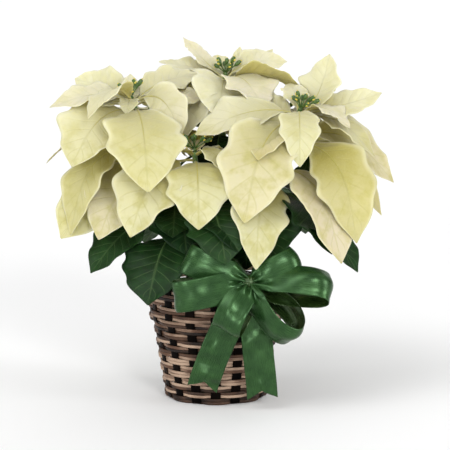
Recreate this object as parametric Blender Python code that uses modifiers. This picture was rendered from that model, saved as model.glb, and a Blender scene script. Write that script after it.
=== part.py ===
"""A poinsettia with cream bracts in a woven basket with a ribbon bow: named solids, in metres, +Z up.

The origin is the middle of the basket's underside, and -Y is the front, where the bow hangs.
"""

import math
from collections import namedtuple
from itertools import product

import bmesh
import bpy
import numpy as np
from mathutils import Vector
from mathutils.bvhtree import BVHTree

# Clearance between pieces that touch on the real thing
GAP = 0.0003

# Basket
WALL_HEIGHT = 0.148
WALL_THICKNESS = 0.005
BASE_RADIUS = 0.0645
BODY_TOP_RADIUS = 0.0800
BAND_HEIGHT = 0.096
BAND_RADIUS = 0.0845
BAND_TOP_RADIUS = 0.0865
BAND_STEP = 0.007
STAKES = 16
ROWS = 18
WEAVE_RELIEF = 0.0017
BASE_THICKNESS = 0.005
RIM_SECTION = 0.005

# Nursery pot and soil
POT_WALL = 0.002
POT_FOOT_RADIUS = 0.053
POT_TOP_RADIUS = 0.0725
POT_LIP_RADIUS = 0.0765
POT_LIP_HEIGHT = 0.009
POT_HEIGHT = 0.136
SOIL_EDGE = 0.127
SOIL_DOME = 0.006
HOLE_DEPTH = 0.025
TURNED_STEPS = 28

# Stems
STEM_FOOT_RADIUS = 0.0050
STEM_TOP_RADIUS = 0.0034
STEM_POINTS = 6
STEM_RISE = 0.10

# Blades: bracts and leaves
BLADE_THICKNESS = 0.0008
BLADE_CLEARANCE = 0.0022
BRACT_PETIOLE = 0.13
LEAF_PETIOLE = 0.26
PETIOLE_HALF_WIDTH = 0.0018
BLADE_WAVE = 0.10
BRACT_STATIONS = (0.0, 0.21, 0.44, 0.70)
LEAF_STATIONS = (0.0, 0.20, 0.44, 0.72)
LOBE_PITCH = 0.27
GOLDEN_ANGLE = math.radians(137.508)
FIRST_BRACT = 100.0
FIRST_LEAF = 30.0

# Cup clusters in the middle of the blooms
CUP_LENGTH = 0.0235
CLUSTER_MIDDLE = 0.009
CUP_RADIUS = 0.0029
CUP_STALK_RADIUS = 0.0010

# Ribbon bow
RIBBON_WIDTH = 0.038
RIBBON_THICKNESS = 0.0008
BOW_WAIST = Vector((0.041, -0.113, 0.165))
WAIST_RADIUS = 0.009
LOOP_POINTS = 12
LOOP_START = 0.045
LOOP_PINCH = 0.30
LOOP_SPREAD = 2.4
WIRE_RADIUS = 0.0009
SOIL_WIRE_FOOT = Vector((0.037, -0.046, 0.118))

# Colours and finishes: red, green, blue, roughness, metallic
FINISHES = {
    "bract_cream": (0.84, 0.80, 0.56, 0.55, 0.0),
    "leaf_green": (0.03, 0.10, 0.03, 0.45, 0.0),
    "cup_green": (0.16, 0.30, 0.06, 0.50, 0.0),
    "basket_cane": (0.28, 0.16, 0.08, 0.60, 0.0),
    "pot_plastic": (0.03, 0.10, 0.05, 0.45, 0.0),
    "soil_mix": (0.03, 0.02, 0.015, 0.95, 0.0),
    "ribbon_satin": (0.06, 0.19, 0.06, 0.35, 0.0),
    "wire_green": (0.05, 0.12, 0.06, 0.40, 0.6),
}

# A blade leaves its stem at drop below the bloom's middle. Its tip lies at bearing and reach from the middle,
# rise above it. Bearings are in degrees from +X towards +Y, and sizes in millimetres. Lift is the arch over
# the length.
Bract = namedtuple("Bract", "bearing reach rise width drop lift roll cup", defaults=(6, 0.20, 0, 0.12))
Leaf = namedtuple("Leaf", "bearing reach rise width drop lift roll cup", defaults=(120, 0.16, 0, 0.14))
Bloom = namedtuple("Bloom", "middle lean foot hub cups bracts extra leaves leaf_extra")

BLOOMS = {
    "left": Bloom(
        middle=(-105, -15, 389), lean=(-0.30, -0.10), foot=(-33, -4), hub=108, cups=9,
        bracts=(
            Bract(283, 108, -114, 98, 14, 0.20),
            Bract(220, 93, -88, 88, 16, 0.20, -14),
            Bract(327, 74, -53, 52, 6, 0.32, 34),
            Bract(150, 86, 14, 58, 6, 0.12, -40),
            Bract(186, 103, -19, 54, 8, 0.14, -24),
            Bract(30, 96, 20, 52, 7, 0.10, 30),
            Bract(6, 92, -8, 46, 9, 0.14, 34),
            Bract(96, 28, 21, 26, 4, -0.06),
            Bract(262, 36, -32, 26, 4, 0.30),
            Bract(198, 64, -10, 24, 4, 0.06),
            Bract(115, 86, -12, 56, 10, 0.16),
            Bract(66, 84, -34, 58, 12, 0.24),
            Bract(172, 111, -92, 56, 62, 0.26),
            Bract(211, 87, -175, 62, 72, 0.30, -24),
            Bract(209, 96, -180, 88, 100, 0.16, -58),
            Bract(238, 74, -178, 78, 98, 0.20, -50),
        ),
        extra=3,
        leaves=(
            Leaf(284, 92, -255, 90, 185, 0.22),
            Leaf(224, 70, -222, 70, 170, 0.20, -20),
            Leaf(312, 104, -208, 84, 150, 0.22),
        ),
        leaf_extra=4,
    ),
    "back_middle": Bloom(
        middle=(12, 55, 414), lean=(0.02, 0.06), foot=(4, 24), hub=62, cups=9,
        bracts=(
            Bract(151, 63, 39, 44, 5, 0.04),
            Bract(61, 40, 27, 26, 4, -0.11),
            Bract(36, 77, 23, 42, 5, 0.00, 24),
            Bract(14, 83, 8, 48, 6, 0.14, 34),
            Bract(345, 97, -19, 62, 7, 0.18, -12),
            Bract(303, 88, -46, 74, 8, 0.20),
            Bract(167, 89, 8, 46, 7, 0.12, -30),
            Bract(192, 98, -13, 56, 8, 0.14, -30),
            Bract(209, 92, -38, 62, 10, 0.20),
            Bract(228, 92, -98, 84, 20, 0.24, -20),
            Bract(266, 92, -62, 84, 10, 0.22),
            Bract(292, 96, -112, 80, 30, 0.22),
            Bract(95, 78, -14, 52, 10, 0.20),
            Bract(128, 86, -42, 58, 14, 0.24),
        ),
        extra=1,
        leaves=(
            Leaf(256, 52, -132, 66, 68, 0.20),
            Leaf(292, 70, -205, 76, 150, 0.22),
        ),
        leaf_extra=5,
    ),
    "right": Bloom(
        middle=(105, -25, 375), lean=(0.28, -0.12), foot=(32, -8), hub=104, cups=9,
        bracts=(
            Bract(46, 56, 60, 66, 5, -0.14),
            Bract(235, 122, -137, 92, 14, 0.22, -30),
            Bract(263, 81, -78, 50, 6, 0.28),
            Bract(13, 107, 12, 50, 6, 0.10, 34),
            Bract(338, 68, -28, 58, 7, 0.24),
            Bract(354, 94, -66, 60, 14, 0.26, 30),
            Bract(195, 135, -36, 64, 7, 0.12, -34),
            Bract(229, 86, -55, 46, 5, 0.18),
            Bract(62, 84, 42, 46, 8, 0.04),
            Bract(314, 97, -166, 78, 44, 0.26, 28),
            Bract(18, 128, -104, 66, 44, 0.22, 46),
            Bract(26, 120, -148, 60, 62, 0.22, 46),
            Bract(298, 102, -188, 88, 84, 0.24, 10),
            Bract(243, 124, -192, 70, 98, 0.24, -20),
            Bract(105, 90, -24, 56, 9, 0.18),
            Bract(150, 92, -12, 54, 8, 0.16),
        ),
        extra=2,
        leaves=(
            Leaf(328, 84, -206, 58, 130, 0.20, 20),
            Leaf(252, 96, -196, 84, 140, 0.24),
            Leaf(290, 88, -178, 78, 120, 0.22),
        ),
        leaf_extra=5,
    ),
    "front_low": Bloom(
        middle=(-26, -52, 327), lean=(-0.05, -0.24), foot=(-8, -30), hub=58, cups=6,
        bracts=(
            Bract(218, 98, -108, 82, 12, 0.22, -34),
            Bract(275, 66, -98, 78, 14, 0.28),
            Bract(223, 44, -6, 32, 4, 0.14),
            Bract(312, 62, -34, 40, 5, 0.24),
            Bract(20, 58, -22, 36, 7, 0.22),
            Bract(160, 60, -26, 38, 7, 0.20),
            Bract(95, 40, 2, 28, 6, 0.12),
        ),
        extra=0,
        leaves=(
            Leaf(296, 88, -138, 80, 74, 0.24),
            Leaf(340, 84, -120, 76, 66, 0.22, 14),
        ),
        leaf_extra=4,
    ),
    "back_left": Bloom(
        middle=(-72, 98, 362), lean=(-0.22, 0.30), foot=(-26, 34), hub=72, cups=7,
        bracts=(), extra=14, leaves=(), leaf_extra=5,
    ),
    "back_right": Bloom(
        middle=(84, 98, 356), lean=(0.24, 0.30), foot=(28, 32), hub=72, cups=7,
        bracts=(), extra=14, leaves=(), leaf_extra=5,
    ),
}

# A loop goes out from the waist at an angle in the X-Z plane, tilted to the front, with its opening turned by
# roll. Angles are in degrees and sizes in millimetres.
Loop = namedtuple("Loop", "angle length opening forward roll width")
LOOPS = (
    Loop(159, 82, 12, -4, 0, 38),
    Loop(190, 90, 13, 8, 0, 38),
    Loop(24, 62, 12, -6, 0, 38),
    Loop(-5, 98, 19, 4, 40, 38),
    Loop(-49, 86, 20, 6, -40, 37),
    Loop(-116, 64, 15, 14, -16, 37),
)

# The tails' middle lines, from the waist down to the notched ends, in millimetres
LEFT_TAIL = ((38, -112, 158), (27, -106, 132), (12, -101, 103), (-2, -95, 70), (-12, -88, 42), (-17, -84, 25))
RIGHT_TAIL = ((43, -112, 158), (46, -106, 132), (50, -103, 100), (53, -100, 68), (56, -96, 40), (58, -92, 15))


def mm(*values):
    return Vector(values) * 0.001


def clear_scene():
    for obj in list(bpy.data.objects):
        bpy.data.objects.remove(obj, do_unlink=True)


def new_collection(name):
    collection = bpy.data.collections.new(name)
    bpy.context.scene.collection.children.link(collection)
    return collection


def finish_material(name):
    material = bpy.data.materials.get(name)
    if material is None:
        red, green, blue, roughness, metallic = FINISHES[name]
        material = bpy.data.materials.new(name)
        material.use_nodes = True
        shader = material.node_tree.nodes["Principled BSDF"]
        shader.inputs["Base Color"].default_value = (red, green, blue, 1.0)
        shader.inputs["Roughness"].default_value = roughness
        shader.inputs["Metallic"].default_value = metallic
        material.diffuse_color = (red, green, blue, 1.0)
    return material


def mesh_object(name, points, faces, collection, finish):
    mesh = bpy.data.meshes.new(name)
    mesh.from_pydata([tuple(p) for p in points], [], faces)
    mesh.materials.append(finish_material(finish))
    obj = bpy.data.objects.new(name, mesh)
    collection.objects.link(obj)
    return obj


def baked(obj, name=None):
    """The object with its modifiers applied, as a new mesh object in the same place."""
    graph = bpy.context.evaluated_depsgraph_get()
    graph.update()
    mesh = bpy.data.meshes.new_from_object(obj.evaluated_get(graph))
    work = bmesh.new()
    work.from_mesh(mesh)
    bmesh.ops.remove_doubles(work, verts=work.verts, dist=1e-6)
    work.to_mesh(mesh)
    work.free()
    result = bpy.data.objects.new(name or obj.name, mesh)
    result.matrix_world = obj.matrix_world
    for collection in obj.users_collection:
        collection.objects.link(result)
    old_name = obj.name
    bpy.data.objects.remove(obj, do_unlink=True)
    result.name = name or old_name
    return result


def tube(name, points, radii, collection, finish, sides=8):
    """A round rod along points, its radius read from radii, with closed ends."""
    curve = bpy.data.curves.new(name, "CURVE")
    curve.dimensions = "3D"
    curve.bevel_depth = 1.0
    curve.bevel_resolution = sides // 2 - 2
    curve.use_fill_caps = True
    spline = curve.splines.new("POLY")
    spline.points.add(len(points) - 1)
    for point, place, radius in zip(spline.points, points, radii):
        point.co = (*place, 1.0)
        point.radius = radius
    curve.materials.append(finish_material(finish))
    obj = bpy.data.objects.new(name, curve)
    collection.objects.link(obj)
    return baked(obj)


def turned(name, profile, collection, finish, steps=TURNED_STEPS):
    """A profile of (radius, height) points, given down the outer side, turned about Z."""
    points = [(radius, 0.0, height) for radius, height in profile]
    edges = [(i, i + 1) for i in range(len(points) - 1)]
    if profile[0][0] > 0.0:
        edges.append((len(points) - 1, 0))
    mesh = bpy.data.meshes.new(name)
    mesh.from_pydata(points, edges, [])
    mesh.materials.append(finish_material(finish))
    obj = bpy.data.objects.new(name, mesh)
    collection.objects.link(obj)
    screw = obj.modifiers.new("turn", "SCREW")
    screw.axis = "Z"
    screw.steps = steps
    screw.render_steps = steps
    screw.use_merge_vertices = True
    screw.merge_threshold = 0.00001
    screw.use_smooth_shade = True
    return baked(obj)


def signed_volume(faces):
    total = 0.0
    for face in faces:
        first = face.verts[0].co
        for i in range(1, len(face.verts) - 1):
            total += first.dot(face.verts[i].co.cross(face.verts[i + 1].co))
    return total / 6.0


def keep_outer_body(mesh):
    """Keeps the largest closed body: a sealed hollow is filled and a loose scrap is dropped."""
    work = bmesh.new()
    work.from_mesh(mesh)
    left = set(work.faces)
    islands = []
    while left:
        stack = [left.pop()]
        island = list(stack)
        while stack:
            for edge in stack.pop().edges:
                for face in edge.link_faces:
                    if face in left:
                        left.remove(face)
                        island.append(face)
                        stack.append(face)
        islands.append(island)
    islands.sort(key=signed_volume, reverse=True)
    spare = [face for island in islands[1:] for face in island]
    bmesh.ops.delete(work, geom=spare, context="FACES")
    work.to_mesh(mesh)
    work.free()


def fuse(base, pieces, solver="MANIFOLD"):
    """One solid from a base and the pieces that grow from it."""
    helpers = new_collection("fusing")
    for piece in pieces:
        for collection in list(piece.users_collection):
            collection.objects.unlink(piece)
        helpers.objects.link(piece)
    union = base.modifiers.new("grow together", "BOOLEAN")
    union.operation = "UNION"
    union.operand_type = "COLLECTION"
    union.collection = helpers
    union.solver = solver
    solid = baked(base)
    for piece in list(helpers.objects):
        bpy.data.objects.remove(piece, do_unlink=True)
    bpy.data.collections.remove(helpers)
    keep_outer_body(solid.data)
    return solid


def cut(base, cutter):
    """Takes the cutter's shape out of the base."""
    hole = base.modifiers.new("hole", "BOOLEAN")
    hole.operation = "DIFFERENCE"
    hole.object = cutter
    cutter.hide_render = True
    cutter.display_type = "WIRE"
    solid = baked(base)
    bpy.data.objects.remove(cutter, do_unlink=True)
    return solid


def wall_radius(height):
    """The basket's mean outer radius: a taper, then a band that stands proud."""
    if height < BAND_HEIGHT:
        return BASE_RADIUS + (BODY_TOP_RADIUS - BASE_RADIUS) * height / BAND_HEIGHT
    step = min(1.0, (height - BAND_HEIGHT) / BAND_STEP)
    smooth = step * step * (3 - 2 * step)
    lean = (BAND_TOP_RADIUS - BAND_RADIUS) * (height - BAND_HEIGHT) / (WALL_HEIGHT - BAND_HEIGHT)
    return BODY_TOP_RADIUS + (BAND_RADIUS - BODY_TOP_RADIUS) * smooth + lean


def weave_ring(height, row, is_crest):
    """One ring of the wall's outside: strips swell in front of one stake and dip behind the next."""
    ring = []
    for column in range(2 * STAKES):
        angle = math.pi * column / STAKES
        over = math.cos(math.pi * (column / 2 + row))
        relief = WEAVE_RELIEF * over if is_crest else -0.3 * WEAVE_RELIEF
        radius = wall_radius(height) + relief
        ring.append((radius * math.cos(angle), radius * math.sin(angle), height))
    return ring


def plain_ring(height, radius):
    count = 2 * STAKES
    angles = [2 * math.pi * column / count for column in range(count)]
    return [(radius * math.cos(a), radius * math.sin(a), height) for a in angles]


def make_basket_wall(collection):
    """A closed shell: woven relief by formula outside, plain inside."""
    pitch = WALL_HEIGHT / ROWS
    rings = [weave_ring(0.0, 0, False)]
    for row in range(ROWS):
        rings.append(weave_ring((row + 0.5) * pitch, row, True))
    rings.append(weave_ring(WALL_HEIGHT, ROWS, False))
    for height in (WALL_HEIGHT, BAND_HEIGHT + BAND_STEP, BAND_HEIGHT, 0.0):
        rings.append(plain_ring(height, wall_radius(height) - WALL_THICKNESS))
    count = 2 * STAKES
    faces = []
    for level in range(len(rings)):
        above = (level + 1) % len(rings)
        for i in range(count):
            j = (i + 1) % count
            a, b = level * count + i, level * count + j
            c, d = above * count + j, above * count + i
            flip = (i + level // 2) % 2 == 0
            faces += [(a, b, c), (a, c, d)] if flip else [(a, b, d), (b, c, d)]
    points = [point for ring in rings for point in ring]
    return mesh_object("basket_wall", points, faces, collection, "basket_cane")


def make_basket_rim(collection):
    middle = wall_radius(WALL_HEIGHT) - 0.5 * WALL_THICKNESS
    bpy.ops.mesh.primitive_torus_add(
        major_radius=middle, minor_radius=RIM_SECTION, major_segments=2 * STAKES, minor_segments=6,
        location=(0, 0, WALL_HEIGHT + GAP + RIM_SECTION),
    )
    return adopt("basket_rim", collection, "basket_cane")


def make_basket_base(collection):
    radius = wall_radius(0.0) - WALL_THICKNESS - 2 * GAP
    bpy.ops.mesh.primitive_cylinder_add(
        vertices=2 * STAKES, radius=radius, depth=BASE_THICKNESS, location=(0, 0, BASE_THICKNESS / 2)
    )
    return adopt("basket_base", collection, "basket_cane")


def adopt(name, collection, finish):
    """Names the primitive that was just added, bakes its place into its mesh and gives it a finish."""
    obj = bpy.context.object
    obj.name = name
    obj.data.name = name
    for old in list(obj.users_collection):
        old.objects.unlink(obj)
    collection.objects.link(obj)
    obj.data.transform(obj.matrix_world)
    obj.matrix_world.identity()
    obj.data.materials.clear()
    obj.data.materials.append(finish_material(finish))
    return obj


def pot_floor():
    return BASE_THICKNESS + GAP


def make_pot(collection):
    foot = pot_floor()
    top = foot + POT_HEIGHT
    lip = top - POT_LIP_HEIGHT
    profile = (
        (POT_LIP_RADIUS, top),
        (POT_LIP_RADIUS, lip),
        (POT_TOP_RADIUS, lip),
        (POT_FOOT_RADIUS, foot),
        (0.0, foot),
        (0.0, foot + POT_WALL),
        (POT_FOOT_RADIUS - POT_WALL, foot + POT_WALL),
        (POT_TOP_RADIUS - POT_WALL, lip),
        (POT_LIP_RADIUS - POT_WALL, lip + POT_WALL),
        (POT_LIP_RADIUS - POT_WALL, top),
    )
    return turned("nursery_pot", profile, collection, "pot_plastic")


def soil_height(radius):
    share = radius / POT_TOP_RADIUS
    return SOIL_EDGE + SOIL_DOME * (1 - share * share)


def make_soil(collection):
    """The potting mix, with a plain hole for each stem and for the wire."""
    foot = pot_floor() + POT_WALL + GAP
    lip = pot_floor() + POT_HEIGHT - POT_LIP_HEIGHT
    foot_radius = POT_FOOT_RADIUS - POT_WALL - GAP
    slope = (POT_TOP_RADIUS - POT_FOOT_RADIUS) / (lip - pot_floor())
    edge_radius = foot_radius + slope * (SOIL_EDGE - foot)
    dome = [(radius, soil_height(radius)) for radius in (0.0, 0.045)]
    profile = (*dome, (edge_radius, SOIL_EDGE), (foot_radius, foot), (0.0, foot))
    soil = turned("soil", profile, collection, "soil_mix")
    holes = [(stem_foot(bloom), STEM_FOOT_RADIUS) for bloom in BLOOMS.values()]
    holes.append((SOIL_WIRE_FOOT, WIRE_RADIUS))
    for place, radius in holes:
        bpy.ops.mesh.primitive_cylinder_add(
            vertices=12, radius=(radius + GAP) / math.cos(math.pi / 12), depth=2 * HOLE_DEPTH,
            location=(place.x, place.y, place.z - GAP + HOLE_DEPTH),
        )
        soil = cut(soil, adopt("hole_cutter", collection, "soil_mix"))
    return soil


def stem_foot(bloom):
    """The lowest point of a stem, on the floor of its hole in the soil."""
    place = mm(*bloom.foot, 0)
    height = soil_height(place.length) - HOLE_DEPTH
    return Vector((place.x, place.y, height))


def stem_line(bloom, count=60):
    """Points from the soil's hole to the bloom's top: upright in the hole, then a smooth sweep."""
    foot = stem_foot(bloom)
    start = foot + Vector((0, 0, HOLE_DEPTH + 0.004))
    top = mm(*bloom.middle) - Vector((0, 0, CLUSTER_MIDDLE))
    lean = Vector((*bloom.lean, 1.0)).normalized()
    first = start + Vector((0, 0, STEM_RISE))
    second = top - lean * STEM_RISE * 0.8
    points = [foot]
    for i in range(count):
        t = i / (count - 1)
        a, b = (1 - t) ** 3, 3 * t * (1 - t) ** 2
        c, d = 3 * t * t * (1 - t), t ** 3
        points.append(start * a + first * b + second * c + top * d)
    return points


def down_the_stem(line, drop):
    """The point at a distance of drop below the stem's top, measured along it."""
    left = drop
    for upper, lower in zip(reversed(line), reversed(line[:-1])):
        step = (upper - lower).length
        if step >= left:
            return upper.lerp(lower, left / step)
        left -= step
    return line[0]


def stem_radius(line, drop):
    length = sum((b - a).length for a, b in zip(line, line[1:]))
    return STEM_TOP_RADIUS + (STEM_FOOT_RADIUS - STEM_TOP_RADIUS) * min(1.0, drop / length)


def half_width(share):
    """An ovate, pointed outline: 0 at the base and the tip, 1 at its widest."""
    ovate = share ** 0.9 * (1 - share) ** 1.02 / 0.2662
    lobes = math.cos(2 * math.pi * (share - 0.31) / LOBE_PITCH) * math.sin(math.pi * share)
    return ovate * (1 + 0.09 * lobes)


# A blade at its real size: root and tip in metres, petiole as a share of its length
Blade = namedtuple("Blade", "root tip width lift roll cup petiole wave")


def blade_rows(blade, stations, across):
    """Rows of points from root to tip, each across the blade from its right margin to its left one."""
    chord = blade.tip - blade.root
    length = chord.length
    out = Vector((chord.x, chord.y, 0)).normalized()
    side = Vector((-out.y, out.x, 0))
    normal = chord.normalized().cross(side)
    shares = [0.0] + [blade.petiole + (1 - blade.petiole) * s for s in stations] + [1.0]

    def spine(t):
        return blade.root + chord * t + normal * (blade.lift * length * math.sin(math.pi * t ** 0.8))

    rows = []
    for t in shares:
        ahead = spine(min(1.0, t + 0.01))
        behind = spine(max(0.0, t - 0.01))
        tangent = (ahead - behind).normalized()
        flat = (side - tangent * side.dot(tangent)).normalized()
        face = tangent.cross(flat)
        turn = math.radians(blade.roll) * min(1.0, t / 0.3)
        wide = flat * math.cos(turn) + face * math.sin(turn)
        face = tangent.cross(wide)
        share = max(0.0, (t - blade.petiole) / (1 - blade.petiole))
        half = max(PETIOLE_HALF_WIDTH * (1 - share), 0.5 * blade.width * half_width(share))
        half = half if t < 1.0 else 0.0
        ripple = blade.wave * math.sin(2 * math.pi * 2.3 * share + blade.roll)
        row = []
        for s in across:
            rise = blade.cup * abs(s) ** 1.5 + ripple * s * abs(s)
            row.append(spine(t) + wide * (half * s) + face * (half * rise))
        rows.append(row)
    return rows


def blade_mesh(rows):
    """Points and triangles of the open sheet. The last row is the tip, one point."""
    across = len(rows[0])
    points = [point for row in rows[:-1] for point in row] + [rows[-1][across // 2]]
    tip = len(points) - 1
    faces = []
    for level in range(len(rows) - 2):
        for i in range(across - 1):
            a, b = level * across + i, level * across + i + 1
            c, d = b + across, a + across
            faces += [(a, b, c), (a, c, d)] if i < across // 2 else [(a, b, d), (b, c, d)]
    last = (len(rows) - 2) * across
    faces += [(last + i, last + i + 1, tip) for i in range(across - 1)]
    return points, faces


def guard_of(points, faces, thickness):
    """A closed envelope of the sheet, thicker than the blade, for finding what it would cross."""
    work = bmesh.new()
    verts = [work.verts.new(point) for point in points]
    for face in faces:
        work.faces.new([verts[i] for i in face])
    work.normal_update()
    upper = [v.co + v.normal * (thickness / 2) for v in verts]
    lower = [v.co - v.normal * (thickness / 2) for v in verts]
    work.verts.index_update()
    rim = [(e.verts[0].index, e.verts[1].index) for e in work.edges if e.is_boundary]
    work.free()
    count = len(points)
    skin = list(faces) + [tuple(i + count for i in reversed(face)) for face in faces]
    skin += [(a, b, b + count) for a, b in rim] + [(a, b + count, a + count) for a, b in rim]
    return upper + lower, skin


class Neighbours:
    """What has been placed so far, by node, for bending a new blade clear of the other nodes."""

    def __init__(self):
        self.trees = []

    def add(self, node, points, faces):
        cloud = np.array([tuple(p) for p in points])
        tree = BVHTree.FromPolygons([tuple(p) for p in points], faces)
        self.trees.append((node, cloud.min(axis=0), cloud.max(axis=0), tree))

    def add_object(self, node, obj):
        points = [obj.matrix_world @ v.co for v in obj.data.vertices]
        self.add(node, points, [tuple(p.vertices) for p in obj.data.polygons])

    def crossed(self, node, points, faces):
        """Whether the body crosses any node but its own."""
        cloud = np.array([tuple(p) for p in points])
        low, high = cloud.min(axis=0), cloud.max(axis=0)
        tree = None
        for other, other_low, other_high, other_tree in self.trees:
            if other == node or (low > other_high).any() or (high < other_low).any():
                continue
            tree = tree or BVHTree.FromPolygons([tuple(p) for p in points], faces)
            if tree.overlap(other_tree):
                return True
        return False


def bending_trials():
    """Small changes to a blade, the smallest first: swing and rise of the tip, arch and roll."""
    swings = (0, -5, 5, -10, 10, -16, 16)
    rises = (0, -7, 7, -14, 14, -24, 24)
    lifts = (0, -0.06, 0.06, -0.12, 0.12)
    rolls = (0, -14, 14, -28, 28)
    trials = list(product(swings, rises, lifts, rolls))
    trials.sort(key=lambda t: abs(t[0]) / 5 + abs(t[1]) / 7 + abs(t[2]) / 0.06 + abs(t[3]) / 14)
    return trials


TRIALS = bending_trials()
EASY_TRIALS = 160


def place_blade(node, spec, line, petiole, stations, neighbours, siblings):
    """The blade of a spec, bent clear of every other node and, where that is easy, of its own node's blades.

    It is None where no small bend clears it.
    """
    middle = line[-1] + Vector((0, 0, CLUSTER_MIDDLE))
    root = down_the_stem(line, spec.drop * 0.001)
    rounds = ((1.0, True, TRIALS[:EASY_TRIALS]), (1.0, False, TRIALS), (0.8, False, TRIALS))
    for shorter, free, trials in rounds:
        for swing, rise, lift, roll in trials:
            bearing = math.radians(spec.bearing + swing)
            reach = spec.reach * shorter
            tip = middle + mm(reach * math.cos(bearing), reach * math.sin(bearing), spec.rise + rise)
            width = 0.001 * spec.width * shorter
            blade = Blade(root, tip, width, spec.lift + lift, spec.roll + roll, spec.cup, petiole, BLADE_WAVE)
            rows = blade_rows(blade, stations, (-1, 0, 1))
            points, faces = blade_mesh(rows)
            if neighbours.crossed(node, *guard_of(points, faces, BLADE_CLEARANCE)):
                continue
            wide_part = blade_mesh(rows[1:])
            if free and siblings.crossed(None, *wide_part):
                continue
            neighbours.add(node, points, faces)
            siblings.add(node, *wide_part)
            return blade
    return None


def make_blade(blade, stations, collection, finish):
    points, faces = blade_mesh(blade_rows(blade, stations, (-1, 0, 1)))
    obj = mesh_object("blade", points, faces, collection, finish)
    thick = obj.modifiers.new("thickness", "SOLIDIFY")
    thick.thickness = BLADE_THICKNESS
    thick.offset = 0.0
    return baked(obj)


def spare_bracts(bloom):
    """Bracts by rule on the sides that the listed ones leave open, turning by the golden angle."""
    bracts = []
    for i in range(bloom.extra):
        ring = i / max(1, bloom.extra - 1)
        bearing = FIRST_BRACT + math.degrees(GOLDEN_ANGLE) * i
        reach = 58 + 42 * min(1.0, 1.6 * ring)
        rise = 22 - 84 * ring
        drop = 5 + 46 * ring * ring
        bracts.append(Bract(bearing, reach, rise, 0.52 * reach + 4, drop, 0.16 + 0.10 * ring))
    return bracts


def spare_leaves(bloom):
    """Leaves by rule down the stem below the bracts, turning by the golden angle."""
    leaves = []
    for i in range(bloom.leaf_extra):
        ring = i / max(1, bloom.leaf_extra - 1)
        bearing = FIRST_LEAF + math.degrees(GOLDEN_ANGLE) * i
        drop = bloom.hub + 8 + ring * 62
        leaves.append(Leaf(bearing, 100 - 12 * ring, -drop + 4 - 30 * ring, 66, drop, 0.20))
    return leaves


def stem_rod(name, line, low, high, collection, finish):
    """The stretch of the stem between two drops below its top."""
    drops = np.linspace(high, low, STEM_POINTS)
    points = [down_the_stem(line, drop) for drop in drops]
    radii = [stem_radius(line, drop) for drop in drops]
    return tube(name, points, radii, collection, finish, sides=6)


def stem_length(line):
    return sum((b - a).length for a, b in zip(line, line[1:]))


def make_cups(name, bloom, line, collection):
    """A cluster of small cups on stalks, spread by the golden angle from a button on the stem's top."""
    axis = (line[-1] - line[-2]).normalized()
    seat = line[-1] + axis * GAP
    across = axis.orthogonal().normalized()
    over = axis.cross(across)
    button = tube(name, (seat, seat + axis * 0.005), (0.0032, 0.0026), collection, "cup_green")
    cups = []
    for i in range(bloom.cups):
        turn = i * GOLDEN_ANGLE
        tilt = math.radians(8 + 54 * math.sqrt(i / (bloom.cups - 1)))
        aside = across * math.cos(turn) + over * math.sin(turn)
        along = axis * math.cos(tilt) + aside * math.sin(tilt)
        start = seat + axis * 0.003
        reach = CUP_LENGTH * (0.86 + 0.14 * (i % 3))
        places = [start + along * reach * share for share in (0.0, 0.76, 1.0)]
        radii = (CUP_STALK_RADIUS, CUP_RADIUS, 0.6 * CUP_RADIUS)
        cups.append(tube("cup", places, radii, collection, "cup_green", sides=6))
    return fuse(button, cups)


def loop_sheet(loop):
    """The open sheet of one ribbon loop: out from the waist, round its far end and back."""
    angle = math.radians(loop.angle)
    out = Vector((math.cos(angle), 0, math.sin(angle)))
    tilt = math.radians(loop.forward)
    out = out * math.cos(tilt) + Vector((0, -1, 0)) * math.sin(tilt)
    depth = (Vector((0, -1, 0)) - out * Vector((0, -1, 0)).dot(out)).normalized()
    wide = out.cross(depth).normalized()
    turn = math.radians(loop.roll)
    across = wide * math.cos(turn) + depth * math.sin(turn)
    depth = depth * math.cos(turn) - wide * math.sin(turn)
    points = []
    for i in range(LOOP_POINTS):
        u = LOOP_START + (1 - 2 * LOOP_START) * i / (LOOP_POINTS - 1)
        reach = 0.001 * loop.length * 0.5 * (1 - math.cos(2 * math.pi * u))
        swell = 0.001 * loop.opening * 1.3 * math.sin(2 * math.pi * u) * math.sin(math.pi * u)
        pinch = min(1.0, LOOP_PINCH + LOOP_SPREAD * reach / (0.001 * loop.length))
        half = 0.0005 * loop.width * pinch
        middle = BOW_WAIST + out * reach + depth * swell
        points += [middle - across * half, middle + across * half]
    return points, strip_faces(LOOP_POINTS, 2)


def strip_faces(count, across):
    """Triangles of a strip a few points wide."""
    faces = []
    for level in range(count - 1):
        for i in range(across - 1):
            a, b = across * level + i, across * level + i + 1
            faces += [(a, b, b + across), (a, b + across, a + across)]
    return faces


def tail_sheet(route):
    """The open sheet of one tail, flat to the front, its end cut with a notch."""
    places = [mm(*point) for point in route]
    points = []
    for i, middle in enumerate(places):
        ahead = places[min(i + 1, len(places) - 1)] - places[max(i - 1, 0)]
        wide = ahead.cross(Vector((0, -1, 0))).normalized()
        half = RIBBON_WIDTH / 2 * (0.40 if i == 0 else 0.92 if i == 1 else 1.0)
        points += [middle - wide * half, middle, middle + wide * half]
    points[-2] = points[-2].lerp(points[-5], 0.55)
    return points, strip_faces(len(places), 3)


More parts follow.
